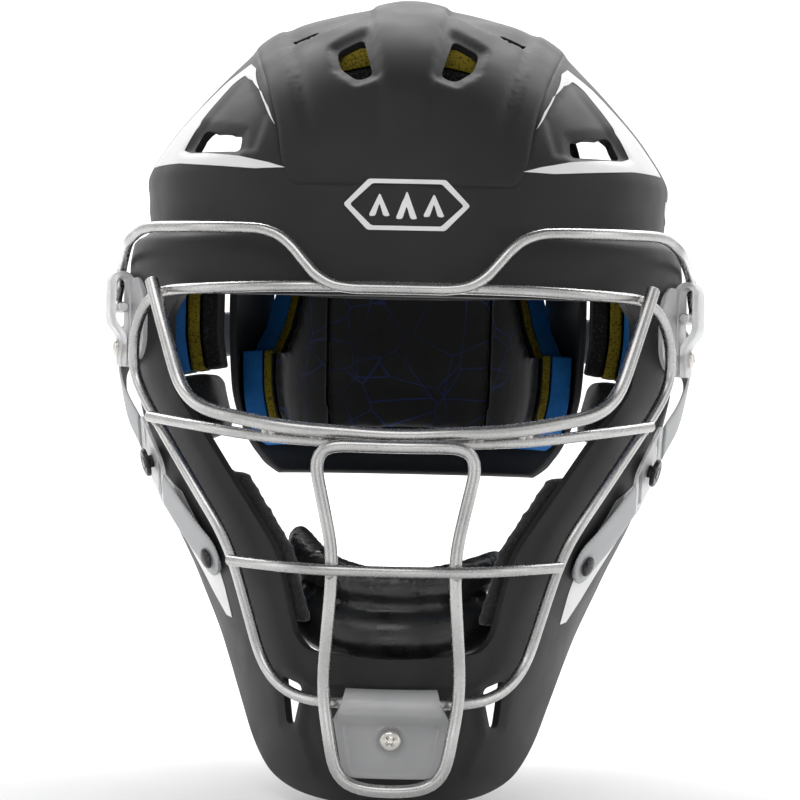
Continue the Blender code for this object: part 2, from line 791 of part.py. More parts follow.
wire_z = FRAME_PATH[-1][1] * SZ
wire_y = on_shell((0.0, wire_z, FRAME_PATH[-1][2])).y
screw_z = CHIN_SCREW_Z * SZ
chin_base = min(front_of(0.0, screw_z + rise) for rise in (-CHIN_CLIP_DROP, 0.0, 0.005, 0.010))
chin_inner = CHIN_CLIP_ROOM + CLIP_WALL / 2
chin_fold = (chin_base - wire_y + FRAME_WIRE / 2 + CHIN_FOLD_ROOM + CLIP_WALL / 2 - chin_inner) / 2
chin_closed = chin_inner + CLIP_WALL + GAP
chin_rise = wire_z - screw_z


def chin_clip_line():
    """Inner leg up the shell, round the frame wire and back down over it to the screw."""
    line = [(-CHIN_CLIP_DROP, chin_inner), (0.0, chin_inner), (chin_rise, chin_inner)]
    for step in range(1, 8):
        angle = math.pi * step / 8
        up = chin_rise + chin_fold * math.sin(angle)
        line.append((up, chin_inner + chin_fold * (1 - math.cos(angle))))
    outer = chin_inner + 2 * chin_fold
    line += [(chin_rise, outer), (chin_rise - 0.003, outer)]
    line += [(CHIN_PINCH, chin_closed), (-CHIN_CLIP_DROP, chin_closed)]
    return line


def curved_extrusion(name, outline, place_of, stations):
    """An outline of up, out pairs set at several stations, each placed by place_of."""
    bm = bmesh.new()
    rings = [[bm.verts.new(place_of(station, up, out)) for up, out in outline] for station in stations]
    bm.faces.new(rings[0])
    bm.faces.new(rings[-1])
    for before, after in zip(rings, rings[1:]):
        bridge(bm, before, after)
    return mesh_from(bm, name)


def chin_clip_place(x, up, out):
    """The clip curves with the wire that it holds."""
    back = on_shell((x, wire_z, FRAME_PATH[-1][2])).y - wire_y
    return Vector((x, chin_base + back - out, screw_z + up))


chin_stations = np.linspace(-CHIN_CLIP_HALF, CHIN_CLIP_HALF, CHIN_CLIP_STEPS + 1)
chin_outline = offset_outline(chin_clip_line(), CLIP_WALL / 2)
chin_mesh = curved_extrusion("chin_clip", chin_outline, chin_clip_place, [float(x) for x in chin_stations])
chin_clip = add_object("chin_clip", chin_mesh, "frosted_plastic")
FORWARD = Vector((0, -1, 0))
chin_head = Vector((0, chin_base - chin_closed - CLIP_WALL / 2 - GAP, screw_z))
chin_hole = bore("chin_hole", chin_head, FORWARD, SCREW_HOLE, -0.03, 0.01)
cut(chin_clip, chin_hole)
cut(front_shell, chin_hole)
chin_nut_y = max(front_of(0.0, screw_z), front_of(0.0, screw_z - NUT_RADIUS)) + NUT_SEAT
chin_nut_seat = Vector((0, chin_nut_y, screw_z))
chin_shank = chin_nut_seat.y - chin_head.y + NUT_HEIGHT + SCREW_TAIL
add_screw("chin_screw", chin_head, FORWARD, chin_shank)
add_nut("chin_nut", chin_nut_seat, FORWARD)


# Foam.

def rows_between(low, high, spacing):
    """Heights for a pad, with the groove's own rings among them."""
    count = max(2, round((high - low) / spacing))
    heights = {low + (high - low) * step / count for step in range(count + 1)}
    heights |= {z * SZ for z in GROOVE_RINGS if low < z * SZ < high}
    return sorted(heights)


def slab(name, shell, span, heights, inset, thickness, columns, finish):
    """A curved pad inside a shell. span gives its first and last angle at a height."""
    bm = bmesh.new()
    faces = []
    for depth in (inset, inset + thickness):
        grid = []
        for z in heights:
            first, last = span(z)
            row = []
            for column in range(columns + 1):
                angle = first + (last - first) * column / columns
                row.append(bm.verts.new(lifted(shell, angle, z, -depth)))
            grid.append(row)
        for lower, upper in zip(grid, grid[1:]):
            bridge(bm, lower, upper, closed=False)
        faces.append(grid)
    outer, inner = faces
    bridge(bm, outer[0], inner[0], closed=False)
    bridge(bm, outer[-1], inner[-1], closed=False)
    for edge in (0, -1):
        bridge(bm, [row[edge] for row in outer], [row[edge] for row in inner], closed=False)
    return add_object(name, mesh_from(bm, name), finish)


def fixed_span(first, last):
    return lambda z: (math.radians(first), math.radians(last))


def mirrored_span(span):
    def flipped(z):
        first, last = span(z)
        return -last, -first
    return flipped


def layered(prefix, shell, span, heights, layers, columns, wall):
    """Foam layers from the shell inwards, each its own piece."""
    inset = wall + FOAM_GAP
    pieces = []
    for colour, thickness in layers:
        name = f"{prefix}_{colour}_foam"
        pieces.append(slab(name, shell, span, heights, inset, thickness, columns, f"{colour}_foam"))
        inset += thickness + LAYER_GAP
    return pieces


def edge_at(edge, z):
    """The y of a side-view edge at height z."""
    points = sorted((v, u) for u, v in stretch_yz(edge))
    return float(np.interp(z, [v for v, _ in points], [u for _, u in points]))


def opening_at(z):
    """The half width of the face opening at height z."""
    points = sorted((v, u) for u, v in stretch_xz(OPENING[1:-1]))
    return float(np.interp(z, [v for v, _ in points], [u for _, u in points]))


COLOURS = ("blue", "yellow", "black")
brow_rows = rows_between(BROW_HEIGHTS[0] * SZ, BROW_HEIGHTS[1] * SZ, 0.012)
brow_layers = list(zip(COLOURS, BROW_FOAMS))
layered("brow", FRONT, fixed_span(*BROW_ANGLES), brow_rows, brow_layers, 10, SHELL_WALL)

temple_rows = rows_between(TEMPLE_HEIGHTS[0] * SZ, TEMPLE_HEIGHTS[1] * SZ, 0.014)
cheek_rows = rows_between(CHEEK_HEIGHTS[0] * SZ, CHEEK_HEIGHTS[1] * SZ, 0.010)
jaw_rows = rows_between(JAW_HEIGHTS[0] * SZ, JAW_HEIGHTS[1] * SZ, 0.012)


def jaw_span(z):
    first = angle_at_x(FRONT, opening_at(z) + JAW_PAD_MARGIN, z)
    last = angle_at_y(FRONT, edge_at(REAR_EDGE[3:], z) - JAW_PAD_MARGIN, z)
    return first, last


for side, sign in (("left", 1), ("right", -1)):
    spans = {
        "temple": fixed_span(*TEMPLE_ANGLES),
        "cheek": fixed_span(*CHEEK_ANGLES),
        "jaw": jaw_span,
    }
    if sign < 0:
        spans = {key: mirrored_span(span) for key, span in spans.items()}
    temple_layers = list(zip(COLOURS, TEMPLE_FOAMS))
    layered(f"{side}_temple", FRONT, spans["temple"], temple_rows, temple_layers, 4, SHELL_WALL)
    cheek_inset = SHELL_WALL + FOAM_GAP
    slab(f"{side}_ear_pad", FRONT, spans["cheek"], cheek_rows, cheek_inset, CHEEK_FOAM, 4, "black_foam")
    slab(f"{side}_jaw_pad", FRONT, spans["jaw"], jaw_rows, cheek_inset, JAW_FOAM, 4, "black_foam")


def crown_height(x, y):
    """The height of the front shell's outer surface over x, y."""
    low, high = 0.05 * SZ, float(FRONT[-1, 0])
    for _ in range(30):
        z = (low + high) / 2
        half, front, rear, middle, square = section(FRONT, z)
        reach = middle - front if y < middle else rear - middle
        if half < 1e-6 or reach < 1e-6 or (abs(x) / half) ** square + (abs(y - middle) / reach) ** square > 1:
            high = z
        else:
            low = z
    return low


def crown_slab(name, inset, thickness, finish):
    bm = bmesh.new()
    grids = []
    for depth in (inset, inset + thickness):
        grid = []
        for y in np.linspace(CROWN_REACH_Y[0] * SY, CROWN_REACH_Y[1] * SY, 9):
            row = []
            for x in np.linspace(-CROWN_REACH_X * SX, CROWN_REACH_X * SX, 7):
                row.append(bm.verts.new((x, y, crown_height(x, y) - depth)))
            grid.append(row)
        for before, after in zip(grid, grid[1:]):
            bridge(bm, before, after, closed=False)
        grids.append(grid)
    for edge in (0, -1):
        bridge(bm, grids[0][edge], grids[1][edge], closed=False)
        bridge(bm, [row[edge] for row in grids[0]], [row[edge] for row in grids[1]], closed=False)
    return add_object(name, mesh_from(bm, name), finish)


crown_inset = (SHELL_WALL + FOAM_GAP) * CROWN_SLOPE_ROOM
crown_slab("crown_blue_foam", crown_inset, CROWN_FOAMS[0], "blue_foam")
crown_slab("crown_black_foam", crown_inset + CROWN_FOAMS[0] + LAYER_GAP, CROWN_FOAMS[1], "black_foam")


# Chin pad: a padded roll that cups the chin.

def roll(name, places, radii, finish, steps=12):
    """A soft roll: an ellipse, radii across and up, swept along a level path and closed at its ends."""
    bm = bmesh.new()
    rings = []
    count = len(places)
    for index, (place, (across, up)) in enumerate(zip(places, radii)):
        along = places[min(index + 1, count - 1)] - places[max(index - 1, 0)]
        side = along.cross(Vector((0, 0, 1))).normalized()
        rise = side.cross(along).normalized()
        ring = []
        for step in range(steps):
            angle = math.tau * step / steps
            ring.append(bm.verts.new(place + side * across * math.cos(angle) + rise * up * math.sin(angle)))
        rings.append(ring)
    for before, after in zip(rings, rings[1:]):
        bridge(bm, before, after)
    bm.faces.new(rings[0])
    bm.faces.new(rings[-1])
    return add_object(name, mesh_from(bm, name), finish)


chin_places, chin_radii = [], []
for step in range(-8, 9):
    turn = math.radians(CHIN_PAD_TURN) * step / 8
    x = CHIN_PAD_HALF * SX * math.sin(turn) / math.sin(math.radians(CHIN_PAD_TURN))
    y = CHIN_PAD_BACK * SY - (CHIN_PAD_BACK - CHIN_PAD_FRONT) * SY * math.cos(turn * 0.95)
    z = CHIN_PAD_Z * SZ + CHIN_PAD_LIFT * (abs(step) / 8) ** 2
    end = math.sqrt(1.0 - (abs(step) / 8.6) ** 6)
    chin_places.append(Vector((x, y, z)))
    chin_radii.append((CHIN_PAD_THICK * end, CHIN_PAD_TALL * end))
roll("chin_pad", chin_places, chin_radii, "black_leather")


# Straps, hooks, studs and rivets.

def ribbon(name, places, normals, width, thickness, finish, round_end=False):
    """A flat strap through places; its faces look along the normals."""
    bm = bmesh.new()
    rings = []
    count = len(places)
    for index, (place, normal) in enumerate(zip(places, normals)):
        along = places[min(index + 1, count - 1)] - places[max(index - 1, 0)]
        side = normal.cross(along).normalized()
        out = along.cross(side).normalized()
        half = width / 2 * (ROUND_END_SHARE if round_end and index == count - 1 else 1.0)
        corners = ((-half, 0.0), (half, 0.0), (half, thickness), (-half, thickness))
        rings.append([bm.verts.new(place + side * u + out * v) for u, v in corners])
    for before, after in zip(rings, rings[1:]):
        bridge(bm, before, after)
    bm.faces.new(rings[0])
    bm.faces.new(rings[-1])
    return add_object(name, mesh_from(bm, name), finish)


def flipped(vector, sign):
    return Vector((vector.x * sign, vector.y, vector.z))


RIVET_PROFILE = (
    (0.0, RIVET_HEIGHT),
    (RIVET_RADIUS * 0.7, RIVET_HEIGHT * 0.85),
    (RIVET_RADIUS, 0.0),
)


def add_rivet(name, seat, direction, length, finish="dark_steel"):
    profile = RIVET_PROFILE + ((SCREW_SHANK, 0.0), (SCREW_SHANK, -length), (0.0, -length))
    item = add_object(name, turned(name, profile, 12), finish)
    item.matrix_world = look_along(seat, direction, Vector((0, 0, 1)) if abs(direction.z) < 0.9 else FORWARD)
    return item


def stud_profile(length):
    flange = STUD_RADIUS * 0.85
    return (
        (0.0, STUD_HEIGHT),
        (STUD_RADIUS * 0.8, STUD_HEIGHT),
        (STUD_RADIUS, STUD_HEIGHT - 0.0007),
        (STUD_RADIUS, STUD_HEIGHT - 0.0017),
        (STUD_NECK, STUD_HEIGHT - 0.0019),
        (STUD_NECK, STUD_FLANGE),
        (flange, STUD_FLANGE),
        (flange, GAP),
        (SCREW_SHANK, GAP),
        (SCREW_SHANK, -length),
        (0.0, -length),
    )


def rounded_box(half_u, half_v, radius, steps=3):
    """The outline of a box with round corners."""
    outline = []
    for quarter, (u, v) in enumerate(((1, 1), (-1, 1), (-1, -1), (1, -1))):
        for step in range(steps + 1):
            angle = math.pi / 2 * (quarter + step / steps)
            centre_u = u * (half_u - radius)
            centre_v = v * (half_v - radius)
            outline.append((centre_u + radius * math.cos(angle), centre_v + radius * math.sin(angle)))
    return outline


def flat_plate(name, outlines, thickness, finish):
    """A flat plate from a 2D curve: the first outline, less the others."""
    curve = bpy.data.curves.new(name, "CURVE")
    curve.dimensions = "2D"
    curve.fill_mode = "BOTH"
    curve.extrude = thickness / 2
    for outline in outlines:
        spline = curve.splines.new("POLY")
        spline.points.add(len(outline) - 1)
        for point, (u, v) in zip(spline.points, outline):
            point.co = (u, v, 0.0, 1.0)
        spline.use_cyclic_u = True
    item = bpy.data.objects.new(name, curve)
    MASK.objects.link(item)
    curve.materials.append(MATERIALS[finish])
    return item


def circle(radius, steps=16):
    angles = [math.tau * step / steps for step in range(steps)]
    return [(radius * math.cos(angle), radius * math.sin(angle)) for angle in angles]


SLOT_AT = HOOK_LENGTH / 2 - HOOK_BAR - HOOK_SLOT / 2
slope = math.radians(HOOK_SLOPE_DEG)
stud_y, stud_z = STUD_AT[0] * SY, STUD_AT[1] * SZ
stud_angle = angle_at_y(FRONT, stud_y, stud_z)
stud_place = skin(FRONT, stud_angle, stud_z)
stud_normal = outward(FRONT, stud_angle, stud_z)
rear_up = Vector((0, math.cos(slope), math.sin(slope)))
rear_up = (rear_up - stud_normal * rear_up.dot(stud_normal)).normalized()
hook_lift = STUD_FLANGE + GAP + HOOK_THICKNESS / 2
strap_reach = HOOK_LENGTH / 2 + STRAP_PLAY


def side_point(y, z, lift):
    """A place over the +X side of the front shell, and the normal there."""
    angle = angle_at_y(FRONT, y * SY, z * SZ)
    return lifted(FRONT, angle, z * SZ, lift), outward(FRONT, angle, z * SZ)


rear_route = [(stud_place + rear_up * strap_reach + stud_normal * STRAP_LIFT, stud_normal)]
rear_route += [side_point(*point) for point in REAR_STRAP]
for x, y, z in STRAP_FREE:
    place = Vector((x * SX, y * SY, z * SZ))
    rear_route.append((place, Vector((0.75, 0.66, 0.0))))
for y, z in BACK_STRAP:
    angle = angle_at_y(BACK, y * SY, z * SZ)
    normal = outward(BACK, angle, z * SZ)
    rear_route.append((skin(BACK, angle, z * SZ) + normal * GAP * 2, normal))
strap_end = Vector((0, JAW_STRAP_END[0] * SY - stud_y, JAW_STRAP_END[1] * SZ - stud_z))
jaw_route = [(stud_place - rear_up * strap_reach + stud_normal * STRAP_LIFT, stud_normal)]
for share in (0.55, 0.78, 1.0):
    jaw_route.append(side_point(
        (stud_y + strap_end.y * share) / SY,
        (stud_z + strap_end.z * share) / SZ,
        STRAP_LIFT * (1.0 - share) + GAP * 2,
    ))

for side, sign in (("left", 1), ("right", -1)):
    normal = flipped(stud_normal, sign)
    along = flipped(rear_up, sign)
    seat = flipped(stud_place, sign)
    cut(front_shell, bore(f"{side}_stud_hole", seat, normal, SCREW_HOLE, -0.02, 0.01))
    shank = NUT_SEAT + NUT_HEIGHT + SCREW_TAIL
    stud_mesh = turned(f"{side}_strap_stud", stud_profile(shank), 16)
    stud = add_object(f"{side}_strap_stud", stud_mesh, "dark_steel")
    stud.matrix_world = look_along(seat, normal, Vector((0, 0, 1)))
    add_nut(f"{side}_stud_nut", seat - normal * NUT_SEAT, normal)

    slot = rounded_box(HOOK_SLOT / 2, STRAP_WIDTH / 2 + STRAP_PLAY, HOOK_SLOT * 0.3, 2)
    hook_outlines = [
        rounded_box(HOOK_LENGTH / 2, HOOK_WIDTH / 2, 0.004),
        circle(STUD_NECK + HOOK_PLAY),
        [(u + SLOT_AT, v) for u, v in slot],
        [(u - SLOT_AT, v) for u, v in slot],
    ]
    hook = flat_plate(f"{side}_strap_hook", hook_outlines, HOOK_THICKNESS, "dark_steel")
    hook.matrix_world = look_along(seat + normal * hook_lift, normal, along)

    places = [flipped(place, sign) for place, _ in rear_route]
    normals = [flipped(out, sign) for _, out in rear_route]
    rear_strap = ribbon(f"{side}_rear_strap", places, normals, STRAP_WIDTH, STRAP_THICKNESS, "grey_elastic")
    rivet_normal = normals[-2]
    rivet_seat = places[-2] + rivet_normal * (STRAP_THICKNESS + GAP)
    hole = bore(f"{side}_rear_rivet_hole", rivet_seat, rivet_normal, SCREW_HOLE, -0.012, 0.01)
    cut(rear_strap, hole)
    cut(back_shell, hole)
    rivet_length = STRAP_THICKNESS + 2 * GAP + BACK_WALL + RIVET_TAIL
    add_rivet(f"{side}_rear_rivet", rivet_seat, rivet_normal, rivet_length)

    places = [flipped(place, sign) for place, _ in jaw_route]
    normals = [flipped(out, sign) for _, out in jaw_route]
    jaw_strap = ribbon(
        f"{side}_jaw_strap", places, normals, STRAP_WIDTH, STRAP_THICKNESS, "grey_elastic", True
    )
    rivet_normal = normals[-1]
    rivet_seat = places[-1] + (places[-2] - places[-1]).normalized() * STRAP_WIDTH * 0.35
    rivet_seat += rivet_normal * (STRAP_THICKNESS + GAP * 2.5)
    hole = bore(f"{side}_jaw_rivet_hole", rivet_seat, rivet_normal, SCREW_HOLE, -0.012, 0.01)
    cut(jaw_strap, hole)
    cut(front_shell, hole)
    rivet_length = STRAP_THICKNESS + STRAP_LIFT * 0.4 + 3 * GAP + SHELL_WALL + RIVET_TAIL
    add_rivet(f"{side}_jaw_rivet", rivet_seat, rivet_normal, rivet_length)


# Back plate: foam, liner panels and the crown strap that it swings on.

def back_span(first, last):
    """Angles across the back plate, kept clear of its front edge."""
    def span(z):
        edge = angle_at_y(BACK, edge_at(BACK_EDGE[1:-1], z) + BACK_PAD_MARGIN, z)
        limits = (edge, math.tau - edge)
        return tuple(min(max(math.radians(angle), limits[0]), limits[1]) for angle in (first, last))
    return span


back_rows = rows_between(BACK_HEIGHTS[0] * SZ, BACK_HEIGHTS[1] * SZ, 0.019)
back_layers = list(zip(COLOURS, BACK_FOAMS[:2]))
layered("back", BACK, back_span(0.0, 360.0), back_rows, back_layers, 14, BACK_WALL)
liner_inset = BACK_WALL + FOAM_GAP + sum(BACK_FOAMS[:2]) + 2 * LAYER_GAP
for panel, first, last, columns in LINER_PANELS:
    span = back_span(first, last)
    slab(f"{panel}_liner", BACK, span, back_rows, liner_inset, BACK_FOAMS[2], columns, "liner_fabric")


def back_height(y):
    """The height of the back plate's outer surface over its centre line, behind its highest point."""
    rear = sorted((section(BACK, float(z))[2], float(z)) for z in BACK[:, 0] if z > 0.02 * SZ)
    return float(np.interp(y, [value for value, _ in rear], [z for _, z in rear]))


def along_crown(places):
    normals = []
    for before, after in zip([places[0]] + places[:-1], places[1:] + [places[-1]]):
        along = after - before
        normals.append(Vector((0, -along.z, along.y)).normalized())
    return normals


front_drop = SHELL_WALL + GAP + CROWN_STRAP_THICKNESS + CROWN_STRAP_ROOM
crown_places = [
    Vector((0, y * SY, crown_height(CROWN_STRAP_WIDTH / 2, y * SY) - front_drop)) for y in CROWN_STRAP_FRONT
]
crown_places += [
    Vector((0, y * SY, back_height(y * SY) + CROWN_STRAP_ROOM)) for y in CROWN_STRAP_BACK
]
crown_normals = along_crown(crown_places)
crown_strap = ribbon(
    "crown_strap", crown_places, crown_normals, CROWN_STRAP_WIDTH, CROWN_STRAP_THICKNESS, "grey_elastic"
)
UP = Vector((0, 0, 1))
front_rivet_y = sum(CROWN_STRAP_FRONT) / len(CROWN_STRAP_FRONT) * SY
for side, sign in (("left", 1), ("right", -1)):
    x = sign * CROWN_RIVET_X
    front_seat = Vector((x, front_rivet_y, crown_height(x, front_rivet_y) + CROWN_RIVET_LIFT))
    hole = bore(f"{side}_crown_hole", front_seat, UP, SCREW_HOLE, -0.02, 0.01)
    cut(front_shell, hole)
    cut(crown_strap, hole)
    front_length = front_seat.z - crown_places[1].z + RIVET_TAIL
    add_rivet(f"{side}_crown_rivet", front_seat, UP, front_length)
    back_normal = crown_normals[-3]
    back_seat = crown_places[-3] + back_normal * (CROWN_STRAP_THICKNESS + GAP) + Vector((x, 0, 0))
    hole = bore(f"{side}_crest_hole", back_seat, back_normal, SCREW_HOLE, -0.02, 0.01)
    cut(back_shell, hole)
    cut(crown_strap, hole)
    back_length = CROWN_STRAP_THICKNESS + CROWN_STRAP_ROOM + BACK_WALL + CROWN_STRAP_ROOM + RIVET_TAIL
    add_rivet(f"{side}_crest_rivet", back_seat, back_normal, back_length)
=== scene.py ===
"""Looks of the hockey-style catcher's mask: fine shells, cage, clips, foam, straps and liner.

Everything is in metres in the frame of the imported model: +Z up, the face along -Y, +X the wearer's left.
"""
import math

import bmesh
import bpy
import numpy as np
from mathutils import Matrix, Vector, kdtree, noise
from mathutils.geometry import delaunay_2d_cdt


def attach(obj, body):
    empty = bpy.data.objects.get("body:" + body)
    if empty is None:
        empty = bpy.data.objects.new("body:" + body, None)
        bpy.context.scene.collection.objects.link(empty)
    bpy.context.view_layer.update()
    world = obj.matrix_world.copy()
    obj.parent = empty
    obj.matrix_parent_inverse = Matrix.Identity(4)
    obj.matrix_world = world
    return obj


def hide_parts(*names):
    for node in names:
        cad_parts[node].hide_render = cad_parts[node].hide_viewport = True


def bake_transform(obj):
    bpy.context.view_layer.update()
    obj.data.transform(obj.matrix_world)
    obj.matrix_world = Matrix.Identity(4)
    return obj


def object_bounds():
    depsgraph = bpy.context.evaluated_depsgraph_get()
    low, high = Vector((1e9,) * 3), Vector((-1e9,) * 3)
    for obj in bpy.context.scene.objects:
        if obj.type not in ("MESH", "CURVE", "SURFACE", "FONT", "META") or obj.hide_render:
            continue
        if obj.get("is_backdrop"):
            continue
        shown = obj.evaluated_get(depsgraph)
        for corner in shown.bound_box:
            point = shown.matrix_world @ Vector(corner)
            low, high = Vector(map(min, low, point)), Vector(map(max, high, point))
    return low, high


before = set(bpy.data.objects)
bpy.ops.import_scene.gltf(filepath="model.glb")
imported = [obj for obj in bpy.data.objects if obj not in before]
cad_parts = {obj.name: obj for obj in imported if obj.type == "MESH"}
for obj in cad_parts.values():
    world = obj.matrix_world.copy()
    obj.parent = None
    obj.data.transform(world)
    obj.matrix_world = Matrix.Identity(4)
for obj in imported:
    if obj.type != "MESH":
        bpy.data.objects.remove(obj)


def plain_bounds():
    return [[float(value) for value in corner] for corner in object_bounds()]


CAD_BOUNDS = plain_bounds()
MM = 0.001

# Camera.

TARGET = Vector((0.0, -0.02, -0.02))
DISTANCE = 1.30
YAW = math.radians(1.0)
ROLL = math.radians(1.2)
camera_data = bpy.data.cameras.new("camera")
camera_data.lens = 139.3
camera_data.sensor_width = 36.0
camera_data.shift_x = -0.0044
camera = bpy.data.objects.new("camera", camera_data)
bpy.context.scene.collection.objects.link(camera)
eye = TARGET + Vector((math.sin(YAW), -math.cos(YAW), 0.0)) * DISTANCE
aim = (TARGET - eye).to_track_quat("-Z", "Y").to_matrix().to_4x4()
camera.matrix_world = Matrix.Translation(eye) @ aim @ Matrix.Rotation(ROLL, 4, "Z")
bpy.context.scene.camera = camera

# Shell sections: height, half width, front y, rear y, y of the widest point, squareness.
FRONT_ROWS = (
    (0.1500, 0.0000, 0.0100, 0.0100, 0.010, 2.0),
    (0.1465, 0.0245, -0.0270, 0.0480, 0.010, 2.0),
    (0.1395, 0.0425, -0.0530, 0.0720, 0.010, 2.05),
    (0.1310, 0.0605, -0.0720, 0.0870, 0.009, 2.1),
    (0.1180, 0.0740, -0.0910, 0.0990, 0.008, 2.2),
    (0.1030, 0.0875, -0.1045, 0.1070, 0.006, 2.3),
    (0.0860, 0.1010, -0.1145, 0.1130, 0.004, 2.35),
    (0.0700, 0.1098, -0.1215, 0.1160, 0.002, 2.4),
    (0.0500, 0.1135, -0.1265, 0.1180, 0.000, 2.45),
    (0.0300, 0.1155, -0.1305, 0.1190, 0.000, 2.45),
    (0.0080, 0.1155, -0.1335, 0.1180, 0.000, 2.4),
    (-0.0150, 0.1125, -0.1365, 0.1140, 0.000, 2.35),
    (-0.0400, 0.1065, -0.1395, 0.1060, 0.000, 2.3),
    (-0.0650, 0.0985, -0.1420, 0.0950, 0.000, 2.25),
    (-0.0950, 0.0845, -0.1445, 0.0820, 0.000, 2.2),
    (-0.1200, 0.0750, -0.1460, 0.0700, 0.000, 2.2),
    (-0.1450, 0.0700, -0.1470, 0.0600, 0.000, 2.2),
    (-0.1640, 0.0680, -0.1430, 0.0600, 0.000, 2.2),
    (-0.1780, 0.0640, -0.1300, 0.0600, 0.000, 2.2),
)
BACK_ROWS = (
    (0.1420, 0.0000, 0.0400, 0.0400, 0.040, 2.0),
    (0.1360, 0.0330, 0.0080, 0.0640, 0.038, 2.1),
    (0.1260, 0.0540, -0.0100, 0.0820, 0.036, 2.2),
    (0.1080, 0.0680, -0.0200, 0.0990, 0.035, 2.25),
    (0.0850, 0.0755, -0.0250, 0.1120, 0.035, 2.3),
    (0.0550, 0.0785, -0.0250, 0.1205, 0.035, 2.35),
    (0.0200, 0.0790, -0.0250, 0.1240, 0.035, 2.4),
    (-0.0150, 0.0775, -0.0250, 0.1190, 0.035, 2.4),
    (-0.0400, 0.0725, -0.0250, 0.1090, 0.035, 2.4),
    (-0.0620, 0.0660, -0.0250, 0.0970, 0.035, 2.4),
)


def eased(low, high, value):
    share = np.clip((np.asarray(value, float) - low) / (high - low), 0.0, 1.0)
    return share * share * (3.0 - 2.0 * share)


def smooth_curve(x, y, at):
    """Monotone cubic through the points x, y."""
    step = np.diff(x)
    slope = np.diff(y) / step
    tangent = np.zeros(len(y))
    before, after = slope[:-1], slope[1:]
    same = before * after > 0
    heavy, light = 2 * step[1:] + step[:-1], step[1:] + 2 * step[:-1]
    with np.errstate(divide="ignore", invalid="ignore"):
        mean = (heavy + light) / (heavy / before + light / after)
    tangent[1:-1] = np.where(same, mean, 0.0)
    tangent[0], tangent[-1] = slope[0], slope[-1]
    index = np.clip(np.searchsorted(x, at, side="right") - 1, 0, len(step) - 1)
    gap, share = step[index], (at - x[index]) / step[index]
    square, cube = share ** 2, share ** 3
    return ((2 * cube - 3 * square + 1) * y[index] + (cube - 2 * square + share) * gap * tangent[index]
            + (3 * square - 2 * cube) * y[index + 1] + (cube - square) * gap * tangent[index + 1])


DENSE_STEPS = 900


class Form:
    """A shell's outer surface, smooth through its sections, with a flat map for trimming it."""

    def __init__(self, rows):
        rows = np.array(rows, dtype=float)[::-1]
        run = np.concatenate(([0.0], np.cumsum(np.hypot(np.diff(rows[:, 0]), np.diff(rows[:, 1])))))
        fine = np.linspace(0.0, run[-1], DENSE_STEPS)
        self.rows = np.stack([smooth_curve(run, rows[:, k], fine) for k in range(6)], axis=1)
        self.z = self.rows[:, 0]
        self.top, self.bottom = float(self.z[-1]), float(self.z[0])
        radius = np.maximum((self.rows[:, 1] + (self.rows[:, 3] - self.rows[:, 2]) / 2) / 2, 1e-4)
        length = np.hypot(np.diff(self.z), np.diff(radius))
        growth = length * 2 / (radius[1:] + radius[:-1])
        self.spread = np.exp(-np.concatenate(([0.0], np.cumsum(growth))))
        self.spread[-1] = 0.0
        self.radius, self.run = radius, np.concatenate(([0.0], np.cumsum(length)))

    def section(self, z):
        return [np.interp(z, self.z, self.rows[:, k]) for k in range(1, 6)]

    def skin(self, angle, z):
        angle, z = np.broadcast_arrays(np.asarray(angle, float), np.asarray(z, float))
        half, front, rear, middle, square = self.section(z)
        sine, cosine = np.sin(angle), np.cos(angle)
        across = np.sign(sine) * np.abs(sine) ** (2 / square)
        along = np.sign(cosine) * np.abs(cosine) ** (2 / square)
        y = middle - np.where(along > 0, middle - front, rear - middle) * along
        return np.stack([half * across, y, z], axis=-1)

    def outward(self, angle, z):
        angle, z = np.broadcast_arrays(np.asarray(angle, float), np.asarray(z, float))
        low, high = z - 0.004, np.minimum(z + 0.004, self.top - 1e-5)
        around = self.skin(angle + 0.03, z) - self.skin(angle - 0.03, z)
        up = self.skin(angle, high) - self.skin(angle, low)
        normal = np.cross(around, up)
        size = np.linalg.norm(normal, axis=-1, keepdims=True)
        flat = np.zeros_like(normal)
        flat[..., 2] = 1.0
        return np.where(size > 1e-10, normal / np.maximum(size, 1e-12), flat)

    def angle_at_x(self, x, z):
        half, _, _, _, square = self.section(z)
        share = np.clip(np.abs(x) / np.maximum(half, 1e-9), 0.0, 0.999)
        return np.sign(x) * np.arcsin(share ** (square / 2))

    def angle_at_y(self, y, z):
        _, front, rear, middle, square = self.section(z)
        share = np.clip((middle - y) / np.where(y < middle, middle - front, rear - middle), -1.0, 1.0)
        return np.arccos(np.sign(share) * np.abs(share) ** (square / 2))

    def flat(self, angle, z):
        reach = np.interp(z, self.z, self.spread)
        return np.stack([reach * np.sin(angle), -reach * np.cos(angle)], axis=-1)


FRONT = Form(FRONT_ROWS)
BACK = Form(BACK_ROWS)

# Flat half outlines as x, z (front) or y, z (side).
OPENING = (
    (0.0000, 0.0200), (0.0905, 0.0200), (0.0964, 0.0130), (0.0949, -0.0130), (0.0772, -0.0340),
    (0.0560, -0.0645), (0.0462, -0.0790), (0.0425, -0.0940), (0.0385, -0.1110), (0.0330, -0.1168),
    (0.0000, -0.1190),
)
REAR_EDGE = (
    (-0.1320, -0.1765), (-0.1130, -0.1715), (-0.0950, -0.1560), (0.0080, -0.0550),
    (0.0320, -0.0260), (0.0370, 0.0000), (0.0390, 0.0600), (0.0420, 0.1150),
)
BACK_EDGE = (
    (0.0780, -0.0540), (0.0640, -0.0440), (0.0520, -0.0300), (0.0440, -0.0140), (0.0450, 0.0900),
    (0.0540, 0.1180),
)
JAW_VENT = ((0.0352, -0.1305), (0.0440, -0.1275), (0.0415, -0.1460), (0.0385, -0.1460))
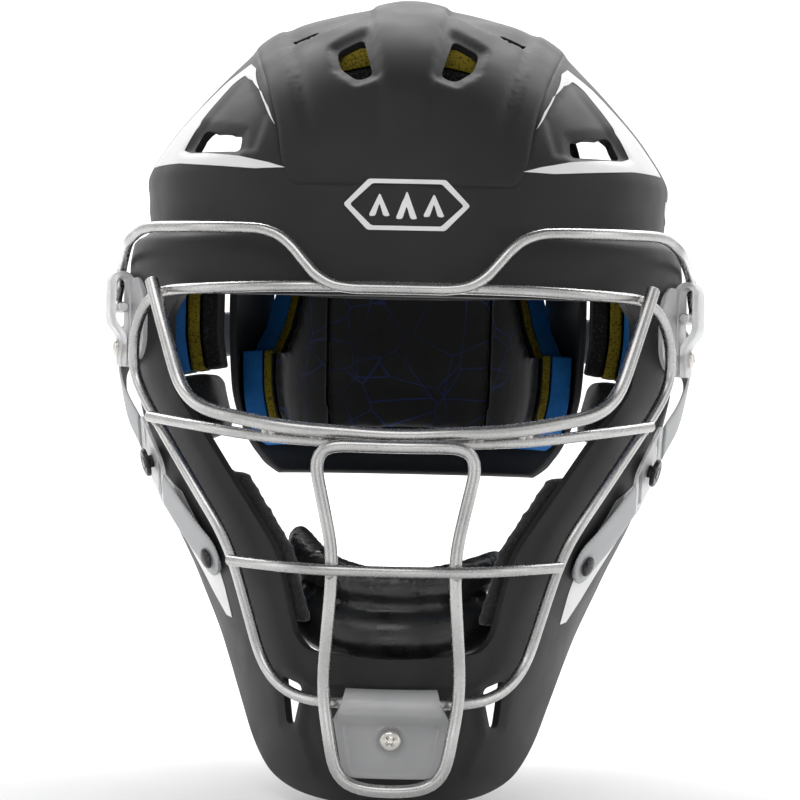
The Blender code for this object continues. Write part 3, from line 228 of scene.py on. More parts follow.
CROWN_VENT = ((0.0183, 0.1262), (0.0290, 0.1200), (0.0270, 0.1120), (0.0197, 0.1067), (0.0135, 0.1090))
SIDE_VENT = ((0.0660, 0.0850), (0.0830, 0.0885), (0.0875, 0.0790), (0.0665, 0.0780))
BACK_VENT = ((0.0555, 0.0320), (0.0640, 0.0320), (0.0640, 0.0180), (0.0600, 0.0130), (0.0565, 0.0160))
NOTCH = ((0.0360, 0.1302), (0.0385, 0.1318), (0.0490, 0.1272), (0.0462, 0.1252))

SHELL_WALL = 0.0032
BACK_WALL = 0.0030
SHELL_GRID = 1.8 * MM
EDGE_GRID = 1.2 * MM


def corners_rounded(points, radius, closed=True, steps=6):
    """A polygon or line with each corner replaced by an arc."""
    points = [np.array(point, dtype=float) for point in points]
    count = len(points)
    result = [] if closed else [points[0]]
    for index in (range(count) if closed else range(1, count - 1)):
        corner = points[index]
        inward, onward = points[index - 1] - corner, points[(index + 1) % count] - corner
        reach = min(radius, 0.45 * np.linalg.norm(inward), 0.45 * np.linalg.norm(onward))
        start = corner + inward / np.linalg.norm(inward) * reach
        end = corner + onward / np.linalg.norm(onward) * reach
        for share in np.linspace(0.0, 1.0, steps + 1):
            result.append((1 - share) ** 2 * start + 2 * share * (1 - share) * corner + share ** 2 * end)
    if not closed:
        result.append(points[-1])
    return np.array(result)


def densified(line, closed, share=10):
    line = np.asarray(line, float)
    if closed:
        line = np.vstack([line, line[:1]])
    at = np.linspace(0, len(line) - 1, (len(line) - 1) * share + 1)
    return np.stack([np.interp(at, np.arange(len(line)), line[:, k]) for k in range(2)], axis=1)


def evenly(form, line, spacing, closed):
    """An angle, z line with its points evenly spaced on the surface."""
    fine = densified(line, closed)
    places = form.skin(fine[:, 0], fine[:, 1])
    run = np.concatenate(([0.0], np.cumsum(np.linalg.norm(np.diff(places, axis=0), axis=1))))
    count = max(4, round(run[-1] / spacing))
    at = np.linspace(0.0, run[-1], count + 1)
    if closed:
        at = at[:-1]
    return np.stack([np.interp(at, run, fine[:, k]) for k in range(2)], axis=1)


def seen_from_front(form, outline):
    outline = np.asarray(outline, float)
    return np.stack([form.angle_at_x(outline[:, 0], outline[:, 1]), outline[:, 1]], axis=1)


def front_hole(half, sign, radius=2.2 * MM):
    outline = corners_rounded([(sign * x, z) for x, z in half], radius)
    return evenly(FRONT, seen_from_front(FRONT, densified(outline, True, 4)[:-1]), EDGE_GRID, True)


def side_edge(form, points, radius, top_y):
    """The +X rim of a shell as angle, z, from its lowest point up to the centre line at the crown."""
    line = densified(corners_rounded(points, radius, closed=False), False, 6)
    last = line[-1]
    rear = form.rows[:, 3] if top_y > form.rows[-1, 3] else form.rows[:, 2]
    upper = form.rows[:, 0] > last[1]
    summit = float(np.interp(-top_y, -form.rows[upper, 3], form.rows[upper, 0]))
    share = np.linspace(0.0, 1.0, 60)[1:]
    z = summit - (summit - last[1]) * (1 - share) ** 2
    y = last[0] + (top_y - last[0]) * np.clip(share * 4, 0, 1)
    line = np.vstack([line, np.stack([y, z], axis=1)])
    angle = form.angle_at_y(line[:, 0], line[:, 1])
    angle[-1] = math.pi
    return np.stack([angle, line[:, 1]], axis=1)


def inside(points, loop):
    """Even-odd test of flat points against a closed loop."""
    x, y = points[:, 0][:, None], points[:, 1][:, None]
    ax, ay = loop[:, 0][None], loop[:, 1][None]
    bx, by = np.roll(loop[:, 0], -1)[None], np.roll(loop[:, 1], -1)[None]
    result = np.zeros(len(points), dtype=bool)
    for start in range(0, len(points), 4000):
        part = slice(start, start + 4000)
        crosses = (ay > y[part]) != (by > y[part])
        with np.errstate(divide="ignore", invalid="ignore"):
            where = ax + (y[part] - ay) / (by - ay) * (bx - ax)
        result[part] = (np.sum(crosses & (x[part] < where), axis=1) % 2).astype(bool)
    return result


def patch(name, form, outer, holes, lines, spacing, height):
    """A trimmed piece of a form's surface: evenly gridded, with exact edges, holes and crease lines.

    outer and holes are closed angle, z loops and lines are open ones; height(place, angle, z) lifts
    the surface along its normal.
    """
    stations = np.arange(spacing / 2, form.run[-1], spacing)
    grid = []
    for station in stations:
        z = float(np.interp(station, form.run, form.z))
        radius = float(np.interp(station, form.run, form.radius))
        around = max(6, round(math.tau * radius / spacing / 16) * 16)
        angles = np.arange(around) * math.tau / around
        grid.append(np.stack([angles, np.full(around, z)], axis=1))
    grid = np.vstack(grid)
    loops = [outer] + list(holes)
    flat_loops = [form.flat(loop[:, 0], loop[:, 1]) for loop in loops]
    flat_grid = form.flat(grid[:, 0], grid[:, 1])
    keep = inside(flat_grid, flat_loops[0])
    for loop in flat_loops[1:]:
        keep &= ~inside(flat_grid, loop)
    grid = grid[keep]
    rims = [form.skin(line[:, 0], line[:, 1]) for line in loops + list(lines)]
    tree = kdtree.KDTree(sum(len(rim) for rim in rims))
    total = 0
    for rim in rims:
        for place in rim:
            tree.insert(place, total)
            total += 1
    tree.balance()
    places = form.skin(grid[:, 0], grid[:, 1])
    clear = np.array([tree.find(place)[2] > spacing * 0.62 for place in places], dtype=bool)
    grid = grid[clear]
    flat_points = [form.flat(grid[:, 0], grid[:, 1])] + flat_loops
    flat_points += [form.flat(line[:, 0], line[:, 1]) for line in lines]
    edges = []
    start = len(flat_points[0])
    for index, loop in enumerate(loops + list(lines)):
        count = len(loop)
        last = count if index < len(loops) else count - 1
        edges += [(start + step, start + (step + 1) % count) for step in range(last)]
        start += count
    coordinates = [Vector(point) for point in np.vstack(flat_points)]
    flat_vertices, _, faces, *_ = delaunay_2d_cdt(coordinates, edges, [], 0, 1e-7)
    flat_vertices = np.array([tuple(vertex) for vertex in flat_vertices])
    faces = np.array([tuple(face) for face in faces])
    middle = flat_vertices[faces].mean(axis=1)
    keep = inside(middle, flat_loops[0])
    for loop in flat_loops[1:]:
        keep &= ~inside(middle, loop)
    faces = faces[keep]
    used = np.unique(faces)
    number = np.full(len(flat_vertices), -1)
    number[used] = np.arange(len(used))
    faces, flat_vertices = number[faces], flat_vertices[used]
    reach = np.hypot(flat_vertices[:, 0], flat_vertices[:, 1])
    angle = np.arctan2(flat_vertices[:, 0], -flat_vertices[:, 1])
    z = np.interp(reach, form.spread[::-1], form.z[::-1])
    place, normal = form.skin(angle, z), form.outward(angle, z)
    place = place + normal * np.asarray(height(place, angle, z))[:, None]
    a, b, c = (place[faces[:, k]] for k in range(3))
    if np.sum(np.cross(b - a, c - a) * normal[faces[:, 0]]) < 0:
        faces = faces[:, ::-1]
    mesh = bpy.data.meshes.new(name)
    mesh.from_pydata(place.tolist(), [], faces.tolist())
    mesh.update()
    return mesh


def applied(item):
    """The object's modifiers applied to its mesh."""
    graph = bpy.context.evaluated_depsgraph_get()
    graph.update()
    mesh = bpy.data.meshes.new_from_object(item.evaluated_get(graph))
    old = item.data
    item.modifiers.clear()
    item.data = mesh
    bpy.data.meshes.remove(old)
    mesh.name = item.name
    return item


def from_bmesh(name, bm):
    mesh = bpy.data.meshes.new(name)
    bm.to_mesh(mesh)
    bm.free()
    return mesh


def new_object(name, mesh):
    item = bpy.data.objects.new(name, mesh)
    bpy.context.scene.collection.objects.link(item)
    return item


def thickened(item, wall, rounding, segments=3, offset=-1.0):
    """A wall under a surface, with rounded rims."""
    solid = item.modifiers.new("wall", "SOLIDIFY")
    solid.thickness, solid.offset, solid.use_even_offset = wall, offset, True
    solid.use_quality_normals = True
    if rounding:
        edge = item.modifiers.new("rim", "BEVEL")
        edge.width, edge.segments, edge.limit_method = rounding, segments, "ANGLE"
        edge.angle_limit, edge.use_clamp_overlap = math.radians(62), True
    return applied(item)


def smooth_shaded(item, angle=40):
    item.data.shade_smooth()
    item.data.set_sharp_from_angle(angle=math.radians(angle))
    return item


def finished(item, body, material, replaces=(), sharp=40):
    """Shading, material and body of a finished piece; the parts it replaces are hidden."""
    smooth_shaded(item, sharp)
    item.data.materials.clear()
    item.data.materials.append(MATERIALS[material])
    if body:
        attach(item, body)
    if replaces:
        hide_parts(*replaces)
    return item


# Relief of the front shell.

RIDGE = ((0.070, 0.0068), (0.0835, 0.0072), (0.1015, 0.0092), (0.124, 0.0124), (0.136, 0.0145), (0.150, 0.0150))
RIB_IN = ((0.075, 0.0370), (0.083, 0.0392), (0.096, 0.0425), (0.111, 0.0462), (0.130, 0.0520), (0.150, 0.0560))
RIB_OUT = ((0.0630, 0.0455), (0.070, 0.0478), (0.089, 0.0508), (0.106, 0.0560), (0.129, 0.0650), (0.150, 0.0700))
STEP_LINE = ((0.0100, 0.1402), (0.0172, 0.1376), (0.0323, 0.1306), (0.0443, 0.1250), (0.0540, 0.1208))
FACET = ((0.0655, 0.1130), (0.0545, 0.0925), (0.0590, 0.0765), (0.0920, 0.0780))
CHIN_PANEL = ((0.0000, -0.1312), (0.0330, -0.1312), (0.0345, -0.1480), (0.0280, -0.1640), (0.0000, -0.1665))


def along_z(rows, z):
    return np.interp(z, [row[0] for row in rows], [row[1] for row in rows])


def polygon_reach(points, x, z):
    """Signed distance to a polygon, negative inside, in the front view."""
    loop = np.array(points, dtype=float)
    place = np.stack([x, z], axis=1)
    best = np.full(len(x), 1e9)
    for start, end in zip(loop, np.roll(loop, -1, axis=0)):
        along = end - start
        share = np.clip(((place - start) @ along) / (along @ along), 0.0, 1.0)
        best = np.minimum(best, np.linalg.norm(place - start - share[:, None] * along, axis=1))
    return np.where(inside(place, loop), -best, best)


def recess(x, z):
    """How far the surface sinks above the brow band's ledge."""
    depth = 5.2 * MM * eased(0.0428, 0.0480, z) - 1.6 * MM * eased(0.050, 0.060, z) \
        - 3.6 * MM * eased(0.058, 0.0715, z)
    return depth * eased(0.026, 0.078, np.abs(x))


def shell_relief(place, angle, z):
    x, y = np.abs(place[:, 0]), place[:, 1]
    front = 1.0 - eased(0.020, 0.040, y)
    height = -recess(x, z)
    ridge_half = along_z(RIDGE, z)
    ridge = 1.0 - eased(ridge_half - 1.1 * MM, ridge_half + 1.1 * MM, x)
    height = height + 1.3 * MM * ridge * eased(0.072, 0.112, z) * (1.0 - 0.85 * eased(0.132, 0.146, z))
    inner, outer = along_z(RIB_IN, z), along_z(RIB_OUT, z)
    rib = eased(inner - 1.9 * MM, inner + 2.3 * MM, x) * (1.0 - eased(outer - 2.0 * MM, outer + 4.0 * MM, x))
    height = height + 1.0 * MM * rib * eased(0.074, 0.105, z) * front
    valley = np.exp(-((x - inner + 2.2 * MM) / (2.4 * MM)) ** 2)
    height = height - 0.75 * MM * valley * eased(0.078, 0.100, z) * (1.0 - 0.7 * eased(0.112, 0.130, z)) * front
    height = height - 2.2 * MM * eased(0.002, 0.024, x) * eased(0.136, 0.147, z)
    step_z = np.interp(x, [row[0] for row in STEP_LINE], [row[1] for row in STEP_LINE])
    between = eased(ridge_half, ridge_half + 2.4 * MM, x) * (1.0 - eased(inner - 4.2 * MM, inner, x))
    above = eased(-0.5 * MM, 0.7 * MM, z - step_z) * (1.0 - eased(3.0 * MM, 13.0 * MM, z - step_z))
    height = height - 2.4 * MM * above * between
    for vent, depth, width in ((CROWN_VENT, 2.0, 4.2), (SIDE_VENT, 1.3, 3.4), (JAW_VENT, 0.9, 2.6)):
        low = min(row[1] for row in vent) - 0.012
        high = max(row[1] for row in vent) + 0.012
        near = (z > low) & (z < high) & (y < 0.0)
        reach = polygon_reach(vent, x[near], z[near])
        height[near] -= depth * MM * (1.0 - eased(0.3 * MM, width * MM, reach))
    near = (z > 0.066) & (z < 0.122) & (y < 0.0) & (x > 0.045)
    reach = polygon_reach(FACET, x[near], z[near])
    height[near] -= 1.1 * MM * (1.0 - eased(-1.6 * MM, 1.0 * MM, reach))
    near = (z > -0.172) & (z < -0.125) & (y < -0.08)
    panel = list(CHIN_PANEL) + [(-px, pz) for px, pz in reversed(CHIN_PANEL) if px > 0]
    reach = polygon_reach(panel, place[near, 0], z[near])
    height[near] -= 1.5 * MM * (1.0 - eased(-1.6 * MM, 1.2 * MM, reach))
    tuck = (1.0 - eased(0.0180, 0.0285, z)) * eased(-0.030, -0.004, z)
    height = height - 3.6 * MM * tuck * eased(0.060, 0.092, -y) * eased(0.070, 0.098, x)
    brow = np.exp(-((z - 0.0335) / 0.0095) ** 2) * eased(0.020, 0.090, x)
    return height + 0.8 * MM * brow


def seam_lines(points, sign, half_width=0.32 * MM):
    """Three close lines along a moulding seam; the middle one is sunk by seam_depth."""
    line = densified(corners_rounded(points, 0.006, closed=False), False, 8)
    along = np.gradient(line, axis=0)
    across = np.stack([-along[:, 1], along[:, 0]], axis=1) / np.linalg.norm(along, axis=1)[:, None]
    result = []
    for shift in (-half_width, 0.0, half_width):
        moved = line + across * shift
        moved[:, 0] *= sign
        result.append(evenly(FRONT, seen_from_front(FRONT, moved), EDGE_GRID * 1.6, False))
    return result


SEAM = ((0.0035, 0.0632), (0.0440, 0.0634), (0.0478, 0.0700), (0.0508, 0.0890), (0.0560, 0.1060), (0.0640, 0.1260))
SEAM_DEPTH = 0.30 * MM


def seam_depth(place):
    """The depth of the seam's groove at places exactly on its middle line."""
    tree = kdtree.KDTree(len(seam_middles))
    for index, middle in enumerate(seam_middles):
        tree.insert(middle, index)
    tree.balance()
    return np.array([SEAM_DEPTH if tree.find(point)[2] < 1e-5 else 0.0 for point in place])


seams, seam_middles = [], []
for sign in (1, -1):
    for index, line in enumerate(seam_lines(SEAM, sign)):
        seams.append(line)
        if index == 1:
            seam_middles += list(FRONT.skin(line[:, 0], line[:, 1]))

front_side = side_edge(FRONT, REAR_EDGE, 0.012, 0.0420)
front_low = float(front_side[0, 0])
lower = evenly(FRONT, [(-front_low, -0.1765), (0.0, -0.1765), (front_low, -0.1765)], EDGE_GRID, False)
rising = evenly(FRONT, front_side, EDGE_GRID, False)
mirrored = rising[::-1] * np.array([-1.0, 1.0])
front_outer = np.vstack([lower[:-1], rising[:-1], mirrored[:-1]])
opening_half = list(OPENING) + [(-x, z) for x, z in reversed(OPENING) if x > 0]
face_hole = evenly(FRONT, seen_from_front(FRONT, densified(corners_rounded(opening_half, 0.006), True, 4)[:-1]),
                   EDGE_GRID, True)
front_holes = [face_hole]
for sign in (1, -1):
    for vent, radius in ((JAW_VENT, 2.4 * MM), (CROWN_VENT, 2.6 * MM), (SIDE_VENT, 2.2 * MM), (NOTCH, 0.9 * MM)):
        front_holes.append(front_hole(vent, sign, radius))


def front_height(place, angle, z):
    return shell_relief(place, angle, z) - seam_depth(place)


front_shell = new_object("front_shell_fine", patch(
    "front_shell_fine", FRONT, front_outer, front_holes, seams, SHELL_GRID, front_height))
thickened(front_shell, SHELL_WALL, 0.9 * MM)

back_side = side_edge(BACK, BACK_EDGE, 0.010, 0.0540)
back_low = float(back_side[0, 0])
under = evenly(BACK, [(back_low, -0.0540), (math.pi, -0.0540), (math.tau - back_low, -0.0540)], EDGE_GRID, False)
back_rising = evenly(BACK, back_side, EDGE_GRID, False)
back_mirrored = np.stack([math.tau - back_rising[:, 0], back_rising[:, 1]], axis=1)
back_outer = np.vstack([under[:-1], back_mirrored[:-1], back_rising[::-1][:-1]])


def rear_hole(half, sign):
    outline = densified(corners_rounded(half, 2.0 * MM), True, 4)[:-1]
    angle = math.pi - BACK.angle_at_x(outline[:, 0], outline[:, 1])
    angle = angle if sign > 0 else math.tau - angle
    return evenly(BACK, np.stack([angle, outline[:, 1]], axis=1), EDGE_GRID, True)


def back_relief(place, angle, z):
    x = np.abs(place[:, 0])
    spine = 1.0 - eased(0.0105, 0.0140, x)
    height = 1.1 * MM * spine * eased(-0.040, -0.028, z) * (1.0 - eased(0.078, 0.096, z))
    panel = eased(0.026, 0.030, x) * (1.0 - eased(0.052, 0.058, x))
    height = height - 1.0 * MM * panel * eased(-0.030, -0.022, z) * (1.0 - eased(0.084, 0.094, z))
    lip = 1.0 - eased(-0.0500, -0.0455, z)
    return height + 0.8 * MM * lip


back_shell = new_object("back_shell_fine", patch(
    "back_shell_fine", BACK, back_outer, [rear_hole(BACK_VENT, 1), rear_hole(BACK_VENT, -1)], [],
    SHELL_GRID, back_relief))
thickened(back_shell, BACK_WALL, 0.9 * MM)

# Materials.

class Finish:
    """A procedural Principled material in object space."""

    def __init__(self, name, colour, roughness, metallic=0.0, **extra):
        self.material = bpy.data.materials.new(name)
        self.material.use_nodes = True
        self.tree = self.material.node_tree
        self.shader = self.tree.nodes["Principled BSDF"]
        self.set("Base Color", (*colour, 1.0))
        self.set("Roughness", roughness)
        self.set("Metallic", metallic)
        for socket, value in extra.items():
            self.set(socket.replace("_", " "), value)
        self.place = self.tree.nodes.new("ShaderNodeTexCoord").outputs["Object"]
        self.bumped = None

    def set(self, socket, value):
        self.shader.inputs[socket].default_value = value

    def node(self, kind, **values):
        made = self.tree.nodes.new(kind)
        for key, value in values.items():
            setattr(made, key, value)
        return made

    def link(self, source, target):
        self.tree.links.new(source, target)

    def noise(self, scale, detail=2.0, stretch=None, rough=0.5, distortion=0.0):
        made = self.node("ShaderNodeTexNoise")
        made.inputs["Scale"].default_value = scale
        made.inputs["Detail"].default_value = detail
        made.inputs["Roughness"].default_value = rough
        made.inputs["Distortion"].default_value = distortion
        self.link(self.stretched(stretch) if stretch else self.place, made.inputs["Vector"])
        return made.outputs["Fac"]

    def stretched(self, scale, rotation=(0.0, 0.0, 0.0)):
        made = self.node("ShaderNodeMapping")
        made.inputs["Scale"].default_value = scale
        made.inputs["Rotation"].default_value = rotation
        self.link(self.place, made.inputs["Vector"])
        return made.outputs["Vector"]

    def cells(self, scale, feature="F1", vector=None):
        made = self.node("ShaderNodeTexVoronoi", feature=feature)
        made.inputs["Scale"].default_value = scale
        self.link(vector or self.place, made.inputs["Vector"])
        return made.outputs["Distance"]

    def ranged(self, source, low, high, to_low=0.0, to_high=1.0, smooth=False):
        made = self.node("ShaderNodeMapRange")
        if smooth:
            made.interpolation_type = "SMOOTHSTEP"
        for socket, value in zip(("From Min", "From Max", "To Min", "To Max"), (low, high, to_low, to_high)):
            made.inputs[socket].default_value = value
        self.link(source, made.inputs["Value"])
        return made.outputs["Result"]

    def maths(self, operation, a, b=None):
        made = self.node("ShaderNodeMath", operation=operation)
        for socket, value in zip(made.inputs, (a, b)):
            if value is None:
                continue
            if isinstance(value, (int, float)):
                socket.default_value = value
            else:
                self.link(value, socket)
        return made.outputs[0]

    def blended(self, share, first, second):
        made = self.node("ShaderNodeMix", data_type="RGBA")
        self.link(share, made.inputs[0])
        for socket, value in ((made.inputs[6], first), (made.inputs[7], second)):
            if isinstance(value, tuple):
                socket.default_value = (*value, 1.0)
            else:
                self.link(value, socket)
        return made.outputs[2]

    def colour(self, source):
        self.link(source, self.shader.inputs["Base Color"])

    def rough(self, source, low, high, to_low, to_high):
        self.link(self.ranged(source, low, high, to_low, to_high), self.shader.inputs["Roughness"])

    def bump(self, source, distance, strength=1.0):
        made = self.node("ShaderNodeBump")
        made.inputs["Strength"].default_value = strength
        made.inputs["Distance"].default_value = distance
        self.link(source, made.inputs["Height"])
        if self.bumped:
            self.link(self.bumped, made.inputs["Normal"])
        self.bumped = made.outputs["Normal"]
        self.link(self.bumped, self.shader.inputs["Normal"])

    def attribute(self, name):
        return self.node("ShaderNodeAttribute", attribute_name=name)

    def axes(self, source):
        made = self.node("ShaderNodeSeparateXYZ")
        self.link(source, made.inputs[0])
        return made.outputs


def plain(name, colour, roughness, metallic=0.0, tone=None, rough=None, bumps=(), **extra):
    """A finish from noise alone.

    tone is scale, detail, low, high, dark and light; rough is scale, detail, low, high and the two
    roughnesses, with a distortion if there is a seventh; bumps are scale, detail, depth, strength.
    """
    m = Finish(name, colour, roughness, metallic, **extra)
    if tone:
        scale, detail, low, high, dark, light = tone
        m.colour(m.blended(m.ranged(m.noise(scale, detail), low, high), dark, light))
    if rough:
        scale, detail, *limits = rough[:6]
        m.rough(m.noise(scale, detail, distortion=rough[6] if len(rough) > 6 else 0.0), *limits)
    for scale, detail, depth, strength in bumps:
        m.bump(m.noise(scale, detail), depth * MM, strength)
    return m.material


def foam(name, dark, light, speck, roughness, scale, depth, speck_share):
    """Cut foam: fine cells, specks of another tone and a slow change of colour."""
    m = Finish(name, light, roughness, Specular_IOR_Level=0.25)
    body = m.blended(m.ranged(m.noise(26.0, 3.0), 0.35, 0.65), dark, light)
    specks = m.ranged(m.noise(scale, 2.0), speck_share, speck_share + 0.05)
    m.colour(m.blended(specks, body, speck))
    m.bump(m.cells(scale * 0.9), depth, 0.7)
    m.bump(m.noise(scale * 0.25, 4.0), depth * 1.6, 0.4)
    return m.material


def black_leather():
    """Glossy coated leather: pebble grain and fine creases."""
    m = Finish("black_leather", (0.0085, 0.0088, 0.0095), 0.30, Coat_Weight=0.25, Coat_Roughness=0.25)
    grain = m.cells(1150.0, "F1")
    m.colour(m.blended(m.ranged(m.noise(70.0, 4.0), 0.35, 0.7), (0.0065, 0.0068, 0.0072), (0.0150, 0.0152, 0.0158)))
    m.rough(m.noise(110.0, 4.0), 0.35, 0.65, 0.24, 0.42)
    m.bump(grain, 0.050 * MM, 0.6)
    m.bump(m.noise(330.0, 4.0, distortion=1.0), 0.05 * MM, 0.4)
    return m.material


def liner_fabric():
    """Black knit printed with a fine blue net of polygons."""
    m = Finish("liner_fabric", (0.010, 0.010, 0.012), 0.82, Sheen_Weight=0.25, Sheen_Roughness=0.5)
    coarse = m.cells(27.0, "DISTANCE_TO_EDGE", m.stretched((1.0, 1.2, 0.9), (0.4, 0.2, 0.7)))
    net = m.maths("MINIMUM", m.cells(46.0, "DISTANCE_TO_EDGE"), m.maths("MULTIPLY", coarse, 1.7))
    line = m.ranged(net, 0.006, 0.016, 1.0, 0.0)
    strength = m.ranged(m.noise(22.0, 2.0), 0.36, 0.62, 0.10, 1.0)
    knit = m.ranged(m.noise(3400.0, 1.0), 0.40, 0.62)
    body = m.blended(knit, (0.0060, 0.0060, 0.0072), (0.0190, 0.0190, 0.0215))
    m.colour(m.blended(m.maths("MULTIPLY", line, strength), body, (0.018, 0.050, 0.230)))
    m.bump(m.noise(3400.0, 1.0), 0.10 * MM, 0.7)
    m.bump(m.noise(160.0, 3.0), 0.35 * MM, 0.35)
    return m.material


def loop_fabric():
    """Brushed loop fabric, as on hook-and-loop pads."""
    m = Finish("loop_fabric", (0.016, 0.016, 0.017), 0.95, Sheen_Weight=0.5, Sheen_Roughness=0.4)
    fuzz = m.noise(1500.0, 5.0, rough=0.7)
    m.colour(m.blended(m.ranged(fuzz, 0.42, 0.66), (0.0060, 0.0060, 0.0064), (0.0420, 0.0420, 0.0440)))
    m.bump(fuzz, 0.42 * MM, 0.9)
    return m.material


def grey_elastic():
    """Woven elastic: fine ribs along the strap and picks across it, with painted shade in the grooves between them.
    """
    m = Finish("grey_elastic", (0.44, 0.45, 0.46), 0.62, Sheen_Weight=0.3, Sheen_Roughness=0.5)
    across, along, _ = m.axes(m.attribute("weave").outputs["Vector"])
    rib = m.maths("ABSOLUTE", m.maths("SINE", m.maths("MULTIPLY", across, math.pi / (0.95 * MM))))
    pick = m.maths("ABSOLUTE", m.maths("SINE", m.maths("MULTIPLY", along, math.pi / (0.80 * MM))))
    weave = m.maths("MULTIPLY", rib, m.ranged(pick, 0.0, 1.0, 0.45, 1.0))
    # Colour: painted shade, darker in the weave's grooves and lighter on its crests, with a random tone over it.
    body = m.blended(m.ranged(weave, 0.0, 0.9), (0.25, 0.26, 0.27), (0.58, 0.59, 0.60))
    m.colour(m.blended(m.ranged(m.noise(45.0, 4.0), 0.45, 0.75), body, (0.40, 0.41, 0.42)))
    m.bump(weave, 0.16 * MM, 0.9)
    return m.material


MATERIALS = {
    # Moulded polycarbonate under soft-touch paint.
    "matte_shell": plain(
        "matte_shell", (0.026, 0.026, 0.0265), 0.54, Specular_IOR_Level=0.26,
        tone=(9.0, 3.0, 0.3, 0.7, (0.0150, 0.0150, 0.0154), (0.0200, 0.0200, 0.0205)),
        rough=(55.0, 4.0, 0.3, 0.7, 0.46, 0.56), bumps=((5200.0, 2.0, 0.020, 0.5), (160.0, 2.0, 0.030, 0.35))),
    # Nickel-plated wire, and its welds.
    "bright_steel": plain(
        "bright_steel", (0.60, 0.59, 0.575), 0.27, 1.0,
        tone=(38.0, 3.0, 0.35, 0.65, (0.46, 0.455, 0.45), (0.58, 0.575, 0.57)),
        rough=(420.0, 4.0, 0.3, 0.7, 0.25, 0.29, 0.4)),
    "weld_steel": plain("weld_steel", (0.55, 0.54, 0.52), 0.36, 1.0, rough=(900.0, 3.0, 0.3, 0.7, 0.26, 0.50),
                        bumps=((1300.0, 3.0, 0.10, 0.8),)),
    # Translucent polycarbonate with a fine etched face.
    "frosted_plastic": plain(
        "frosted_plastic", (0.88, 0.885, 0.895), 0.34, Transmission_Weight=0.74, IOR=1.38,
        tone=(60.0, 3.0, 0.35, 0.65, (0.86, 0.865, 0.875), (0.95, 0.952, 0.958)),
        rough=(240.0, 3.0, 0.3, 0.7, 0.28, 0.40), bumps=((2600.0, 2.0, 0.020, 0.5),)),
    "screw_steel": plain("screw_steel", (0.72, 0.70, 0.66), 0.16, 1.0, rough=(600.0, 3.0, 0.35, 0.65, 0.12, 0.24),
                         bumps=((1800.0, 2.0, 0.010, 0.4),)),
    "dark_steel": plain(
        "dark_steel", (0.030, 0.030, 0.032), 0.30, 0.85,
        tone=(320.0, 4.0, 0.42, 0.68, (0.022, 0.022, 0.024), (0.075, 0.075, 0.078)),
        rough=(500.0, 3.0, 0.35, 0.65, 0.22, 0.40), bumps=((1200.0, 3.0, 0.020, 0.5),)),
    "decal_film": plain("decal_film", (0.78, 0.78, 0.78), 0.38,
                        tone=(30.0, 3.0, 0.35, 0.65, (0.72, 0.72, 0.725), (0.83, 0.83, 0.83)),
                        bumps=((2400.0, 2.0, 0.015, 0.4),)),
    "blue_foam": foam("blue_foam", (0.008, 0.115, 0.37), (0.018, 0.185, 0.52), (0.006, 0.085, 0.29),
                      0.62, 1500.0, 0.06 * MM, 0.60),
    "yellow_foam": foam("yellow_foam", (0.165, 0.128, 0.008), (0.270, 0.215, 0.014), (0.075, 0.058, 0.005),
                        0.85, 1100.0, 0.16 * MM, 0.54),
    "black_foam": foam("black_foam", (0.0075, 0.0075, 0.008), (0.0150, 0.0150, 0.0155), (0.0480, 0.0480, 0.0490),
                       0.90, 1200.0, 0.18 * MM, 0.60),
    "black_leather": black_leather(), "liner_fabric": liner_fabric(), "loop_fabric": loop_fabric(),
    "grey_elastic": grey_elastic(),
}

finished(front_shell, "root", "matte_shell", ("front_shell",), sharp=50)
finished(back_shell, "back_plate", "matte_shell", ("back_shell",), sharp=50)


# Decals.

def decal(name, outline, body="root", lift=0.10 * MM, holes=(), straight=False):
    """A film patch on the front shell from an x, z or angle, z outline."""
    def loop_of(points):
        line = densified(corners_rounded(points, 0.0006), True, 3)[:-1]
        if straight:
            line = seen_from_front(FRONT, line)
        return evenly(FRONT, line, 1.0 * MM, True)
    height = lambda place, angle, z: shell_relief(place, angle, z) + lift
    mesh = patch(name, FRONT, loop_of(outline), [loop_of(hole) for hole in holes], [], 1.6 * MM, height)
    film = new_object(name, mesh)
    thickened(film, 0.14 * MM, 0.0, offset=1.0)
    return finished(film, body, "decal_film")


def bearing(points):
    """Outlines given in degrees round the shell and metres up."""
    return [(math.radians(angle), z) for angle, z in points]


CROWN_DECAL = (
    (57.5, 0.1165), (50.5, 0.1135), (40.5, 0.1040), (34.0, 0.0965), (27.0, 0.0870), (31.8, 0.0948),
    (38.0, 0.1018), (47.0, 0.1082), (54.5, 0.1112), (56.5, 0.1072), (56.9, 0.0980), (56.9, 0.0880),
    (56.4, 0.0792), (46.0, 0.0772), (33.0, 0.0746), (25.0, 0.0718), (20.8, 0.0697), (28.0, 0.0695),
    (40.0, 0.0712), (54.0, 0.0732), (73.0, 0.0738), (72.0, 0.0800), (70.4, 0.0900), (67.8, 0.1000), (64.5, 0.1090),
)
JAW_DECAL = (
    (84.0, -0.0590), (77.0, -0.0665), (70.5, -0.0745), (66.5, -0.0860), (61.5, -0.0985), (57.0, -0.1072),
    (53.6, -0.1078), (52.2, -0.0960), (51.8, -0.0830), (54.0, -0.0700), (57.5, -0.0585),
    (66.0, -0.0520), (76.0, -0.0520),
)
SIDE_DECAL = ((77.0, 0.0648), (92.0, 0.0655), (92.0, 0.0575), (84.0, 0.0562), (78.5, 0.0590))
for side, sign in (("left", 1), ("right", -1)):
    for label, points in (("crown_decal", CROWN_DECAL), ("jaw_decal", JAW_DECAL), ("side_decal", SIDE_DECAL)):
        decal(f"{side}_{label}", bearing([(sign * angle, z) for angle, z in points]))


def badge_shape(half_x, half_z, cut):
    return [(-half_x, 0.0), (-half_x + cut, half_z), (half_x - cut, half_z), (half_x, 0.0),
            (half_x - cut, -half_z), (-half_x + cut, -half_z)]


